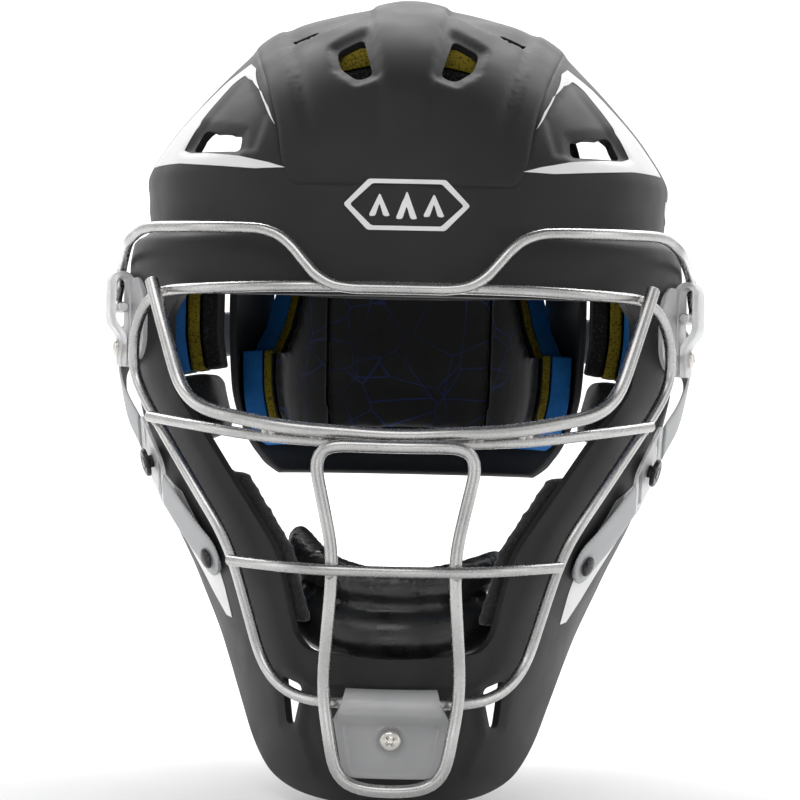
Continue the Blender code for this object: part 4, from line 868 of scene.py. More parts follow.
def badge_points(points, shift_x=0.0015, level=0.0553):
    return [(x + shift_x, z + level) for x, z in points]


decal("badge_border", badge_points(badge_shape(0.0245, 0.0100, 0.0095)), straight=True,
      holes=[badge_points(badge_shape(0.0220, 0.0083, 0.0086))])
for index, middle in enumerate((-0.0105, 0.0, 0.0105)):
    tall = 0.0056 if index == 1 else 0.0046
    chevron = [(middle - 0.0042, -tall), (middle, tall), (middle + 0.0042, -tall), (middle + 0.0016, -tall),
               (middle, -tall + 0.0052), (middle - 0.0016, -tall)]
    decal(f"badge_chevron_{index + 1}", badge_points(chevron), straight=True)

# Placing on the shells, as the wires, clips, foam and straps are placed.

GROOVE = ((0.0440, 0.0), (0.0500, 0.0052), (0.0600, 0.0036), (0.0700, 0.0))


def based(form, angle, z):
    place = form.skin(angle, z)
    if form is FRONT:
        half, front, rear, middle, _ = form.section(place[..., 2])
        depth = np.interp(place[..., 2], [row[0] for row in GROOVE], [row[1] for row in GROOVE])
        depth = depth * np.clip((np.abs(place[..., 0]) - 0.028) / 0.047, 0.0, 1.0)
        reach = np.where(place[..., 1] < middle, middle - front, rear - middle)
        along = (middle - place[..., 1]) / np.maximum(reach, 1e-6)
        place[..., 0] -= depth * place[..., 0] / np.maximum(half, 1e-6)
        place[..., 1] += depth * along
    return place


def lifted(form, angle, z, lift):
    angle, z = np.broadcast_arrays(np.asarray(angle, float), np.asarray(z, float))
    return based(form, angle, z) + form.outward(angle, z) * np.asarray(lift, float)[..., None]


def on_shell(points):
    """Places of x, z, lift points over the front of the shell."""
    points = np.asarray(points, float)
    x, z = points[:, 0].copy(), points[:, 1].copy()
    for _ in range(8):
        places = lifted(FRONT, FRONT.angle_at_x(x, z), z, points[:, 2])
        x += points[:, 0] - places[:, 0]
        z += points[:, 1] - places[:, 2]
    return places


def respaced(places, spacing, closed=False):
    places = np.asarray(places, float)
    if closed:
        places = np.vstack([places, places[:1]])
    run = np.concatenate(([0.0], np.cumsum(np.linalg.norm(np.diff(places, axis=0), axis=1))))
    count = max(2, round(run[-1] / spacing))
    at = np.linspace(0.0, run[-1], count + 1)
    result = np.stack([np.interp(at, run, places[:, k]) for k in range(places.shape[1])], axis=1)
    return result[:-1] if closed else result


def flowing(places, spacing):
    """A Catmull-Rom curve through a few places."""
    places = np.asarray(places, float)
    padded = np.vstack([2 * places[0] - places[1], places, 2 * places[-1] - places[-2]])
    result = []
    for a, b, c, d in zip(padded, padded[1:], padded[2:], padded[3:]):
        for share in np.linspace(0.0, 1.0, 12, endpoint=False):
            result.append(0.5 * (2 * b + (c - a) * share + (2 * a - 5 * b + 4 * c - d) * share ** 2
                                 + (3 * b - a - 3 * c + d) * share ** 3))
    result.append(places[-1])
    return respaced(result, spacing)


def loft(name, rings, closed=False, capped=True):
    """A mesh through rings of the same length."""
    rings = [np.asarray(ring, float) for ring in rings]
    count, total = len(rings[0]), len(rings)
    faces = []
    for index in range(total if closed else total - 1):
        low, high = index * count, (index + 1) % total * count
        for step in range(count):
            after = (step + 1) % count
            faces.append((low + step, low + after, high + after, high + step))
    if capped and not closed:
        faces.append(tuple(range(count))[::-1])
        faces.append(tuple(range((total - 1) * count, total * count)))
    mesh = bpy.data.meshes.new(name)
    mesh.from_pydata(np.vstack(rings).tolist(), [], faces)
    outward_faces(mesh)
    return mesh


def outward_faces(mesh):
    bm = bmesh.new()
    bm.from_mesh(mesh)
    bmesh.ops.recalc_face_normals(bm, faces=bm.faces)
    bm.to_mesh(mesh)
    bm.free()
    mesh.update()


def tube(name, places, radius, closed=False, around=24, chamfer=0.45 * MM):
    """A round rod with lightly chamfered ends."""
    places = np.asarray(places, float)
    count = len(places)
    if closed:
        along = np.roll(places, -1, axis=0) - np.roll(places, 1, axis=0)
    else:
        along = np.gradient(places, axis=0)
    along /= np.linalg.norm(along, axis=1)[:, None]
    side = np.cross(along[0], (0.0, 0.0, 1.0) if abs(along[0][2]) < 0.9 else (1.0, 0.0, 0.0))
    sides = []
    for tangent in along:
        side = side - tangent * (side @ tangent)
        side /= np.linalg.norm(side)
        sides.append(side)
    sides = np.array(sides)
    if closed:
        last = sides[-1] - along[0] * (sides[-1] @ along[0])
        last /= np.linalg.norm(last)
        twist = math.atan2(np.cross(last, sides[0]) @ along[0], last @ sides[0])
        turn = np.arange(count)[:, None] * twist / count
        sides = sides * np.cos(turn) + np.cross(along, sides) * np.sin(turn)
    others = np.cross(along, sides)
    angles = np.arange(around) * math.tau / around
    circle = np.cos(angles)[:, None], np.sin(angles)[:, None]
    rings = [place + (circle[0] * a + circle[1] * b) * radius for place, a, b in zip(places, sides, others)]
    if not closed:
        ends = []
        for end, sign in ((0, -1), (count - 1, 1)):
            ring = rings[end] + along[end] * chamfer * sign
            ends.append(ring + (places[end] + along[end] * chamfer * sign - ring) * (chamfer / radius))
        rings = [ends[0]] + rings + [ends[1]]
    return new_object(name, loft(name, rings, closed))


FRAME_WIRE = 0.0044
EYE_WIRE = 0.0054
BAR_WIRE = 0.0043
LOOP_WIRE = 0.0048
FRAME_PATH = (
    (0.0000, 0.0231, 0.0065), (0.0500, 0.0228, 0.0065), (0.1000, 0.0212, 0.0068),
    (0.1076, 0.0060, 0.0070), (0.1080, -0.0105, 0.0072), (0.1030, -0.0205, 0.0070),
    (0.0677, -0.0725, 0.0070), (0.0626, -0.0843, 0.0070), (0.0510, -0.1217, 0.0078),
    (0.0435, -0.1310, 0.0078), (0.0330, -0.1348, 0.0075), (0.0000, -0.1350, 0.0075),
)
HAT_PATH = (
    (0.0000, 0.0222, 0.0116), (0.0290, 0.0222, 0.0116), (0.0470, 0.0448, 0.0100),
    (0.1060, 0.0468, 0.0110), (0.1112, 0.0408, 0.0095),
)
EYE_PATH = (
    (0.0000, -0.0339, 0.0160), (0.0450, -0.0312, 0.0160), (0.0828, -0.0234, 0.0155), (0.0985, 0.0250, 0.0128),
)
NOSE_PATH = ((0.0000, -0.0378, 0.0119), (0.0550, -0.0347, 0.0119), (0.0990, -0.0285, 0.0122))
MOUTH_PATH = ((0.0000, -0.0843, 0.0237), (0.0350, -0.0840, 0.0232), (0.0632, -0.0826, 0.0175))
LOOP_PATH = (
    (0.0000, -0.0378, 0.0202), (0.0320, -0.0374, 0.0202), (0.0233, -0.0760, 0.0186),
    (0.0231, -0.0880, 0.0184), (0.0256, -0.1230, 0.0145), (0.0254, -0.1340, 0.0136),
    (0.0200, -0.1655, 0.0148), (0.0000, -0.1680, 0.0148),
)
WIRE_BEND = 0.009
WIRE_STEP = 2.5 * MM


def wire_places(half, closed, bend=WIRE_BEND):
    other = [(-x, z, lift) for x, z, lift in half]
    path = list(half) + other[-2:0:-1] if closed else other[:0:-1] + list(half)
    path = corners_rounded(path, bend, closed, steps=8)
    places = on_shell(respaced(path, 4.0 * MM, closed))
    for _ in range(2):
        before, after = np.roll(places, 1, axis=0), np.roll(places, -1, axis=0)
        calm = (before + 2 * places + after) / 4
        if not closed:
            calm[0], calm[-1] = places[0], places[-1]
        places = calm
    if closed:
        places = flowing(np.vstack([places[-1:], places, places[:2]]), WIRE_STEP)
        first = int(np.argmin(np.linalg.norm(places - calm[0], axis=1)))
        last = len(places) - 1 - int(np.argmin(np.linalg.norm(places[::-1] - calm[0], axis=1)))
        return places[first:last] if last - first > 20 else places
    return flowing(places, WIRE_STEP)


def vec(value):
    return np.array(tuple(value), dtype=float)


class Seat:
    """A place on the front shell with its outward, rearward and upward directions."""

    def __init__(self, sign, y, z):
        angle = float(FRONT.angle_at_y(y, z))
        self.place = based(FRONT, angle, z)
        self.tilted = FRONT.outward(angle, z).copy()
        self.place[0] *= sign
        self.tilted[0] *= sign
        self.normal = self.tilted * (1.0, 1.0, 0.0)
        self.normal /= np.linalg.norm(self.normal)
        self.rear = np.cross((0.0, 0.0, 1.0), self.normal) * sign

    def point(self, rear, out, up=0.0):
        return self.place + self.rear * rear + self.normal * out + np.array((0.0, 0.0, up))


CLIP_WALL, CLIP_LENGTH, CLIP_RISE, CLIP_PINCH = 0.0024, 0.024, 0.0100, 0.0110
CLIP_DROP, CLIP_SCREW_DROP, ROD_FRONT, GAP = 0.0240, 0.0165, 0.0172, 0.0004
FOLD_RADIUS = BAR_WIRE / 2 + GAP + CLIP_WALL / 2
ROD_OUT = GAP + CLIP_WALL / 2 + FOLD_RADIUS
CLIP_STACK = 3 * GAP + 2 * CLIP_WALL - GAP
SIDES = (("left", 1), ("right", -1))
seats = {side: Seat(sign, -0.0455, 0.0155) for side, sign in SIDES}

hat_ends = {}
for side, seat in seats.items():
    behind = CLIP_LENGTH / 2 + BAR_WIRE
    hat_ends[side] = [
        seat.point(behind, ROD_OUT - 0.0020, 0.0180), seat.point(behind, ROD_OUT - 0.0008, 0.0080),
        seat.point(behind - 0.0008, ROD_OUT, 0.0040), seat.point(behind - 0.004, ROD_OUT, 0.0008),
        seat.point(behind - 0.009, ROD_OUT, 0.0), seat.point(-ROD_FRONT, ROD_OUT, 0.0),
    ]
hat_middle = wire_places(HAT_PATH, False)
hat_places = flowing(np.vstack([hat_ends["right"][::-1], hat_middle[::3], hat_ends["left"]]), WIRE_STEP)

WIRES = {
    "cage_outer_frame": (wire_places(FRAME_PATH, True), FRAME_WIRE, True),
    "cage_eye_frame": (wire_places(EYE_PATH, False, 0.012), EYE_WIRE, False),
    "cage_nose_bar": (wire_places(NOSE_PATH, False), BAR_WIRE, False),
    "cage_mouth_bar": (wire_places(MOUTH_PATH, False), BAR_WIRE, False),
    "cage_centre_loop": (wire_places(LOOP_PATH, True), LOOP_WIRE, True),
    "cage_top_wire": (hat_places, BAR_WIRE, False),
}
for name, (places, diameter, closed) in WIRES.items():
    finished(tube(f"{name}_fine", places, diameter / 2, closed), "root", "bright_steel", (name,))


def meetings(first, second, reach):
    """Places where two wires touch: middle point, the first wire's tangent and the gap across to the second."""
    a, b = WIRES[first][0], WIRES[second][0]
    gap = np.linalg.norm(a[:, None] - b[None], axis=2)
    found = []
    while True:
        i, j = np.unravel_index(np.argmin(gap), gap.shape)
        if gap[i, j] > reach:
            return found
        found.append(((a[i] + b[j]) / 2, a[min(i + 1, len(a) - 1)] - a[max(i - 1, 0)], b[j] - a[i]))
        gap[np.linalg.norm(a - a[i], axis=1) < 0.020, :] = 1.0


def weld_beads():
    bm = bmesh.new()
    pairs = (("cage_outer_frame", "cage_eye_frame", 0.0085), ("cage_outer_frame", "cage_nose_bar", 0.0080),
             ("cage_outer_frame", "cage_mouth_bar", 0.0145), ("cage_outer_frame", "cage_centre_loop", 0.0080),
             ("cage_centre_loop", "cage_mouth_bar", 0.0075), ("cage_centre_loop", "cage_nose_bar", 0.0100),
             ("cage_eye_frame", "cage_nose_bar", 0.0070), ("cage_outer_frame", "cage_top_wire", 0.0062))
    number = 0
    for first, second, reach in pairs:
        for middle, along, across in meetings(first, second, reach):
            along = Vector(along).normalized()
            across = Vector(across).normalized()
            other = along.cross(across).normalized()
            turn = Matrix((along, other, across)).transposed().to_4x4()
            for shift in (-1.0, 1.0):
                number += 1
                centre = Vector(middle) + along * shift * 1.5 * MM
                made = bmesh.ops.create_icosphere(bm, subdivisions=3, radius=1.0)["verts"]
                for vertex in made:
                    direction = vertex.co.copy()
                    rough = 1.0 + 0.16 * noise.noise(direction * 2.1 + Vector((number, 0, 0)))
                    vertex.co = direction * rough
                size = Matrix.Diagonal((1.7 * MM, 1.5 * MM, 2.3 * MM, 1.0))
                bmesh.ops.transform(bm, matrix=Matrix.Translation(centre) @ turn @ size, verts=made)
    return new_object("cage_welds", from_bmesh("cage_welds", bm))


finished(weld_beads(), "root", "weld_steel")


# Clips.

def offset_outline(centre, half_width):
    left, right = [], []
    for index, point in enumerate(centre):
        along = vec(centre[min(index + 1, len(centre) - 1)]) - vec(centre[max(index - 1, 0)])
        along /= np.linalg.norm(along)
        across = np.array((-along[1], along[0])) * half_width
        left.append(vec(point) + across)
        right.append(vec(point) - across)
    return np.array(left + right[::-1])


def bevelled(item, width, segments=2, angle=50):
    edge = item.modifiers.new("edges", "BEVEL")
    edge.width, edge.segments, edge.limit_method = width, segments, "ANGLE"
    edge.angle_limit, edge.use_clamp_overlap = math.radians(angle), True
    return applied(item)


def two_layered(name, points, rows, columns):
    """A closed sheet between two grids of points of the same size, with its rim."""
    wide, count = columns + 1, (rows + 1) * (columns + 1)
    faces = []
    for row in range(rows):
        for column in range(columns):
            a = row * wide + column
            faces.append((a, a + 1, a + wide + 1, a + wide))
            faces.append((a + count, a + wide + count, a + wide + 1 + count, a + 1 + count))
    border = list(range(wide)) + [row * wide + columns for row in range(1, rows + 1)]
    border += [rows * wide + column for column in range(columns - 1, -1, -1)]
    border += [row * wide for row in range(rows - 1, 0, -1)]
    faces += [(a, b, b + count, a + count) for a, b in zip(border, border[1:] + border[:1])]
    mesh = bpy.data.meshes.new(name)
    mesh.from_pydata(np.asarray(points, float).tolist(), [], faces)
    outward_faces(mesh)
    return new_object(name, mesh)


def folded(drop, inner, rise, radius, steps):
    """The up, out line of a clip: its inner leg and the fold over the wire."""
    line = [(-drop, inner), (0.0, inner), (rise, inner)]
    for angle in np.linspace(0.0, math.pi, steps)[1:-1]:
        line.append((rise + radius * math.sin(angle), inner + radius * (1 - math.cos(angle))))
    return line


def side_clip_line():
    inner = GAP + CLIP_WALL / 2
    outer, closed = inner + 2 * FOLD_RADIUS, inner + CLIP_WALL + GAP
    line = folded(CLIP_DROP, inner, CLIP_RISE, FOLD_RADIUS, 15)
    line += [(CLIP_RISE, outer), (-FOLD_RADIUS * 1.6, outer), (-CLIP_PINCH, closed), (-CLIP_DROP, closed)]
    return respaced(corners_rounded(line, 0.004, False, 4), 0.9 * MM)


TONGUE_COLUMNS = 10
clip_outline = offset_outline(side_clip_line(), CLIP_WALL / 2)
for side, sign in SIDES:
    seat = seats[side]
    rings = []
    for share in np.linspace(-1.0, 1.0, 15):
        up, out = clip_outline[:, 0], clip_outline[:, 1]
        foot = np.clip((0.009 - (up + CLIP_DROP + CLIP_WALL)) / 0.009, 0.0, 1.0)
        wide = np.sqrt(1.0 - 0.88 * foot ** 2) * (1.0 - 0.10 * eased(0.004, 0.016, up))
        crown = out + 0.5 * MM * (1 - share ** 2) * (out > 0.004)
        rings.append(seat.place + seat.rear * (share * CLIP_LENGTH / 2 * wide)[:, None]
                     + seat.normal * crown[:, None] + np.array((0, 0, 1.0)) * up[:, None])
    clip = new_object(f"{side}_side_clip_fine", loft("clip", rings))
    finished(bevelled(clip, 0.55 * MM), "root", "frosted_plastic", (f"{side}_side_clip",))
    # The tongue that runs forward along the shell.
    rows = []
    for up in np.linspace(-0.0210, 0.0120, 14):
        z = seat.place[2] + up
        taper = 1.0 - 0.55 * ((up + 0.0045) / 0.0165) ** 4
        rows.append((z, -0.0575, -0.0575 - 0.0185 * taper))
    sheet = []
    for depth in (0.0006, 0.0026):
        for z, rear_y, front_y in rows:
            for y in np.linspace(rear_y, front_y, TONGUE_COLUMNS):
                angle = float(FRONT.angle_at_y(y, z))
                place = lifted(FRONT, angle, z, depth)
                sheet.append((place[0] * sign, place[1], place[2]))
    tongue = two_layered(f"{side}_clip_tongue", sheet, len(rows) - 1, TONGUE_COLUMNS - 1)
    finished(bevelled(tongue, 0.5 * MM), "root", "frosted_plastic")


def turned(name, profile, around=40):
    """A turned solid from radius, height pairs, top to bottom."""
    bm = bmesh.new()
    rings = []
    for radius, height in profile:
        if radius < 1e-9:
            rings.append([bm.verts.new((0.0, 0.0, height))])
        else:
            rings.append([bm.verts.new((radius * math.cos(math.tau * k / around),
                                        radius * math.sin(math.tau * k / around), height)) for k in range(around)])
    for upper, under in zip(rings, rings[1:]):
        for k in range(around):
            after = (k + 1) % around
            corners = [upper[k % len(upper)], upper[after % len(upper)],
                       under[after % len(under)], under[k % len(under)]]
            corners = [c for index, c in enumerate(corners) if c not in corners[:index]]
            if len(corners) > 2:
                bm.faces.new(corners)
    bmesh.ops.recalc_face_normals(bm, faces=bm.faces)
    return from_bmesh(name, bm)


def facing(origin, direction, towards=(0.0, 0.0, 1.0)):
    """A placement whose local Z runs along direction."""
    z_axis = Vector(direction).normalized()
    x_axis = Vector(towards)
    if abs(z_axis.dot(x_axis)) > 0.98 * x_axis.length:
        x_axis = Vector((0.0, 1.0, 0.0))
    y_axis = z_axis.cross(x_axis).normalized()
    x_axis = y_axis.cross(z_axis)
    return Matrix.Translation(Vector(origin)) @ Matrix((x_axis, y_axis, z_axis)).transposed().to_4x4()


def domed(radius, height, steps=7):
    """The profile of a pan head, from its middle out to its seat."""
    rows = [(0.0, height)]
    for k in range(1, steps):
        share = k / steps
        rows.append((radius * share, height * (1 - 0.55 * share ** 3.2)))
    return rows + [(radius * 0.985, height * 0.30), (radius, height * 0.14), (radius * 0.985, 0.0)]


def cross_head(name, origin, direction, radius, height, shank, length, turn):
    """A pan-head screw with a cross recess."""
    profile = domed(radius, height) + [(shank, 0.0), (shank, -length), (0.0, -length)]
    screw = new_object(name, turned(name, profile, 48))
    bm = bmesh.new()
    for quarter in (0, 1):
        made = bmesh.ops.create_cube(bm, size=1.0)["verts"]
        for vertex in made:
            wide = 0.66 if vertex.co.z > 0 else 0.24
            thick = 0.19 if vertex.co.z > 0 else 0.09
            vertex.co = Vector((vertex.co.x * 2 * radius * wide, vertex.co.y * 2 * radius * thick,
                                height * (1.4 if vertex.co.z > 0 else 0.10)))
        bmesh.ops.rotate(bm, verts=made, cent=(0, 0, 0), matrix=Matrix.Rotation(math.pi / 2 * quarter + turn, 3, "Z"))
    cutter = new_object("cross", from_bmesh("cross", bm))
    cut = screw.modifiers.new("recess", "BOOLEAN")
    cut.operation, cut.object, cut.solver, cut.use_self = "DIFFERENCE", cutter, "EXACT", True
    applied(screw)
    bpy.data.objects.remove(cutter, do_unlink=True)
    screw.data.transform(facing(origin, direction))
    return bevelled(screw, 0.09 * MM, 1, 42)


SCREW_SHANK, SCREW_HEAD, SCREW_HEAD_HEIGHT, NUT_SEAT, NUT_HEIGHT = 0.0019, 0.0040, 0.0022, 0.0049, 0.0030
for side, sign in SIDES:
    seat = seats[side]
    head = seat.point(0.0, CLIP_STACK + GAP, -CLIP_SCREW_DROP)
    screw = cross_head(f"{side}_clip_screw_fine", head, seat.normal, SCREW_HEAD, SCREW_HEAD_HEIGHT, SCREW_SHANK,
                       CLIP_STACK + NUT_SEAT + 0.002, 0.5)
    finished(screw, "root", "screw_steel", (f"{side}_clip_screw",), sharp=30)

CHIN_CLIP_DROP, CHIN_PINCH, CHIN_CLIP_ROOM, CHIN_FOLD_ROOM, CHIN_SCREW_Z = 0.0145, 0.0062, 0.0012, 0.0010, -0.1485
CHIN_WIDTHS = ((-0.0146, 0.0128), (-0.0139, 0.0156), (-0.0122, 0.0177), (-0.0095, 0.0187), (-0.0020, 0.0201),
               (0.0040, 0.0213), (0.0075, 0.0218), (0.0130, 0.0188), (0.0200, 0.0172))


def front_of(x, z):
    return float(based(FRONT, float(FRONT.angle_at_x(x, z)), z)[1])


wire_z = FRAME_PATH[-1][1]
wire_y = float(on_shell([(0.0, wire_z, FRAME_PATH[-1][2])])[0, 1])
chin_base = min(front_of(0.0, CHIN_SCREW_Z + rise) for rise in (-CHIN_CLIP_DROP, 0.0, 0.005, 0.010))
chin_inner = CHIN_CLIP_ROOM + CLIP_WALL / 2
chin_fold = (chin_base - wire_y + FRAME_WIRE / 2 + CHIN_FOLD_ROOM + CLIP_WALL / 2 - chin_inner) / 2
chin_closed = chin_inner + CLIP_WALL + GAP
chin_rise = wire_z - CHIN_SCREW_Z
PANEL = ((-0.0130, -0.0108), (0.0130, -0.0108), (0.0158, 0.0040), (-0.0158, 0.0040))


def chin_clip_outline():
    line = folded(CHIN_CLIP_DROP, chin_inner, chin_rise, chin_fold, 17)
    outer = chin_inner + 2 * chin_fold
    line += [(chin_rise, outer), (chin_rise - 0.003, outer)]
    line += [(CHIN_PINCH, chin_closed), (-CHIN_CLIP_DROP, chin_closed)]
    return offset_outline(respaced(corners_rounded(line, 0.003, False, 4), 0.7 * MM), CLIP_WALL / 2)


outline = chin_clip_outline()
rings = []
for share in np.linspace(-1.0, 1.0, 81):
    up, out = outline[:, 0], outline[:, 1].copy()
    x = share * along_z(CHIN_WIDTHS, up)
    outer_face = (out > chin_closed + 0.4 * MM) & (up < CHIN_PINCH + 0.001)
    reach = polygon_reach(PANEL, np.where(outer_face, x, 0.0), np.where(outer_face, up, 0.0)) - 0.002
    out = np.where(outer_face, out - 0.60 * MM * (1.0 - eased(-0.35 * MM, 0.35 * MM, reach)), out)
    boss = np.hypot(x, up)
    out = np.where(outer_face, out + 0.75 * MM * np.exp(-((boss - 5.5 * MM) / (0.60 * MM)) ** 2), out)
    back = on_shell(np.stack([x, np.full(len(x), wire_z), np.full(len(x), FRAME_PATH[-1][2])], axis=1))[:, 1] - wire_y
    rings.append(np.stack([x, chin_base + back - out, CHIN_SCREW_Z + up], axis=1))
chin_clip = new_object("chin_clip_fine", loft("chin_clip", rings))
finished(bevelled(chin_clip, 0.5 * MM), "root", "frosted_plastic", ("chin_clip",))
chin_head = (0.0, chin_base - chin_closed - CLIP_WALL / 2 - GAP, CHIN_SCREW_Z)
finished(cross_head("chin_screw_fine", chin_head, (0.0, -1.0, 0.0), 0.0042, 0.0023, SCREW_SHANK, 0.012, 0.65),
         "root", "screw_steel", ("chin_screw",), sharp=30)


# Foam.

JAW_PAD_MARGIN, JAW_PAD_SHOWN, BACK_PAD_MARGIN, FOAM_GAP, LAYER_GAP = 0.0045, 0.0010, 0.0060, 0.0017, 0.0009


BACK_TOP = ((0.0, 0.0000), (112.0, 0.0000), (122.0, 0.0120), (133.0, 0.0420), (141.0, 0.0880))


def slab(name, form, span, low, high, inset, thickness, rounding, spacing=3.0 * MM, tops=None):
    """A curved pad inside a shell; span gives its angles at a height, tops its upper edge by angle."""
    rows = max(3, round((high - low) / spacing))
    first, last = span((low + high) / 2)
    wide = np.linalg.norm(form.skin(first, (low + high) / 2) - form.skin(last, (low + high) / 2))
    columns = max(4, round(wide * 1.1 / spacing))
    grids = []
    for depth in (inset, inset + thickness):
        for row in range(rows + 1):
            z = low + (high - low) * row / rows
            first, last = span(z)
            angles = first + (last - first) * np.linspace(0.0, 1.0, columns + 1)
            levels = np.full(columns + 1, z)
            if tops:
                turn = np.degrees(angles)
                top = np.interp(np.minimum(turn, 360.0 - turn), [row[0] for row in tops], [row[1] for row in tops])
                levels = low + (z - low) * (np.minimum(top, high) - low) / (high - low)
            grids.append(lifted(form, angles, levels, -depth))
    item = two_layered(name, np.vstack(grids), rows, columns)
    return bevelled(item, rounding, 3, 55) if rounding else item


def fixed_span(first, last):
    return lambda z: (math.radians(first), math.radians(last))


def mirrored_span(span):
    return lambda z: tuple(-angle for angle in reversed(span(z)))


def layered(prefix, form, span, low, high, layers, wall, body, tops=None):
    inset = wall + FOAM_GAP
    for colour, thickness in layers:
        item = slab(f"{prefix}_{colour}_foam_fine", form, span, low, high, inset, thickness, 1.1 * MM, tops=tops)
        finished(item, body, f"{colour}_foam", (f"{prefix}_{colour}_foam",))
        inset += thickness + LAYER_GAP


def edge_at(edge, z):
    rows = sorted((v, u) for u, v in edge)
    return float(np.interp(z, [v for v, _ in rows], [u for _, u in rows]))


def opening_at(z):
    rows = sorted((v, u) for u, v in OPENING[1:-1])
    return float(np.interp(z, [v for v, _ in rows], [u for _, u in rows]))


def jaw_span(z):
    first = float(FRONT.angle_at_x(opening_at(z) - JAW_PAD_SHOWN, z))
    last = float(FRONT.angle_at_y(edge_at(REAR_EDGE, z) - JAW_PAD_MARGIN, z))
    return first, last


COLOURS = ("blue", "yellow", "black")
layered("brow", FRONT, fixed_span(-50.0, 50.0), 0.0235, 0.0600, zip(COLOURS, (0.0130, 0.0050, 0.0065)),
        SHELL_WALL, "root")
pads = {}
for side, sign in SIDES:
    turn = (lambda span: span) if sign > 0 else mirrored_span
    layered(f"{side}_temple", FRONT, turn(fixed_span(77.0, 99.0)), -0.0140, 0.0560,
            zip(COLOURS, (0.0175, 0.0050, 0.0065)), SHELL_WALL, "root")
    pads[f"{side}_ear_pad"] = slab(f"{side}_ear_pad_fine", FRONT, turn(fixed_span(84.5, 103.5)), -0.0440, -0.0160,
                                   SHELL_WALL + FOAM_GAP + 0.0008, 0.0264, 0.0)
    pads[f"{side}_jaw_pad"] = slab(f"{side}_jaw_pad_fine", FRONT, turn(jaw_span), -0.1075, -0.0500,
                                   SHELL_WALL + FOAM_GAP + 0.0008, 0.0052, 0.0)


def crown_height(x, y):
    low, high = 0.05, FRONT.top
    for _ in range(26):
        z = (low + high) / 2
        half, front, rear, middle, square = FRONT.section(z)
        reach = middle - front if y < middle else rear - middle
        outside = half < 1e-6 or reach < 1e-6 or (abs(x) / half) ** square + (abs(y - middle) / reach) ** square > 1
        low, high = (low, z) if outside else (z, high)
    return low


def crown_slab(name, inset, thickness):
    xs, ys = np.linspace(-0.040, 0.040, 27), np.linspace(-0.078, 0.020, 33)
    top = np.array([[crown_height(float(x), float(y)) for x in xs] for y in ys])
    vertices = []
    for depth in (inset, inset + thickness):
        for row, y in enumerate(ys):
            vertices += [(float(x), float(y), float(top[row, column] - depth)) for column, x in enumerate(xs)]
    item = two_layered(name, vertices, len(ys) - 1, len(xs) - 1)
    return bevelled(item, 1.2 * MM, 3, 55)


crown_inset = (SHELL_WALL + FOAM_GAP) * 1.25
finished(crown_slab("crown_blue_foam_fine", crown_inset, 0.0070), "root", "yellow_foam",
         ("crown_blue_foam",))
finished(crown_slab("crown_black_foam_fine", crown_inset + 0.0070 + LAYER_GAP, 0.0070), "root", "black_foam",
         ("crown_black_foam",))


def back_span(first, last):
    def span(z):
        edge = float(BACK.angle_at_y(edge_at(BACK_EDGE, z) + BACK_PAD_MARGIN, z))
        return tuple(min(max(math.radians(angle), edge), math.tau - edge) for angle in (first, last))
    return span


BACK_FOAMS = (0.0085, 0.0032, 0.0045)
layered("back", BACK, back_span(0.0, 360.0), -0.0430, 0.0880, zip(COLOURS, BACK_FOAMS[:2]), BACK_WALL, "back_plate",
        BACK_TOP)
liner_inset = BACK_WALL + FOAM_GAP + sum(BACK_FOAMS[:2]) + 2 * LAYER_GAP
backing = slab("liner_backing", BACK, back_span(4.0, 356.0), -0.0416, 0.0866, liner_inset - 0.0007, 0.0004, 0.0,
               tops=[(angle, top - 0.0014) for angle, top in BACK_TOP])
finished(backing, "back_plate", "black_foam")
for panel, first, last in (("left", 0.0, 145.2), ("centre", 145.4, 214.6), ("right", 214.8, 360.0)):
    pads[f"{panel}_liner"] = slab(f"{panel}_liner_fine", BACK, back_span(first + 0.4, last - 0.4), -0.0422, 0.0872,
                                  liner_inset + 0.0006, 0.0032, 0.0, spacing=2.5 * MM,
                                  tops=[(angle, top - 0.0010) for angle, top in BACK_TOP])


# Chin pad: a full lower roll and a thinner wrinkled one over it.

def roll_rings(across_scale, up_scale, shift_out, shift_up, turn_limit=82.0):
    places, sizes = [], []
    for step in np.linspace(-1.0, 1.0, 49):
        turn = math.radians(turn_limit) * step
        x = (0.0430 + shift_out) * math.sin(turn) / math.sin(math.radians(82.0))
        y = -0.0560 - (0.0680 + shift_out) * math.cos(turn * 0.95)
        z = -0.1020 + (0.0150 - 0.0050 * step) * step ** 2 + shift_up
        end = math.sqrt(max(1.0 - (abs(step) / 1.03) ** 3.5, 0.02))
        places.append((x, y, z))
        sizes.append((0.0114 * across_scale * end, 0.0180 * up_scale * end))
    places = np.array(places)
    along = np.gradient(places, axis=0)
    along /= np.linalg.norm(along, axis=1)[:, None]
    rings = []
    angles = np.arange(28) * math.tau / 28
    for place, tangent, (across, up) in zip(places, along, sizes):
        side = np.cross(tangent, (0.0, 0.0, 1.0))
        side /= np.linalg.norm(side)
        rise = np.cross(side, tangent)
        rings.append(place + np.cos(angles)[:, None] * side * across + np.sin(angles)[:, None] * rise * up)
    return rings


def remeshed(item, voxel):
    made = item.modifiers.new("voxels", "REMESH")
    made.mode, made.voxel_size, made.use_smooth_shade = "VOXEL", voxel, True
    return applied(item)


def joined_meshes(name, items):
    bm = bmesh.new()
    for item in items:
        bm.from_mesh(item.data)
        bpy.data.objects.remove(item, do_unlink=True)
    return new_object(name, from_bmesh(name, bm))


lower_roll = new_object("lower_roll", loft("lower_roll", roll_rings(0.94, 0.60, 0.0, -0.0104)))
upper_roll = new_object("upper_roll", loft("upper_roll", roll_rings(0.84, 0.43, -0.0030, 0.0092)))
pads["chin_pad"] = joined_meshes("chin_pad_fine", [lower_roll, upper_roll])


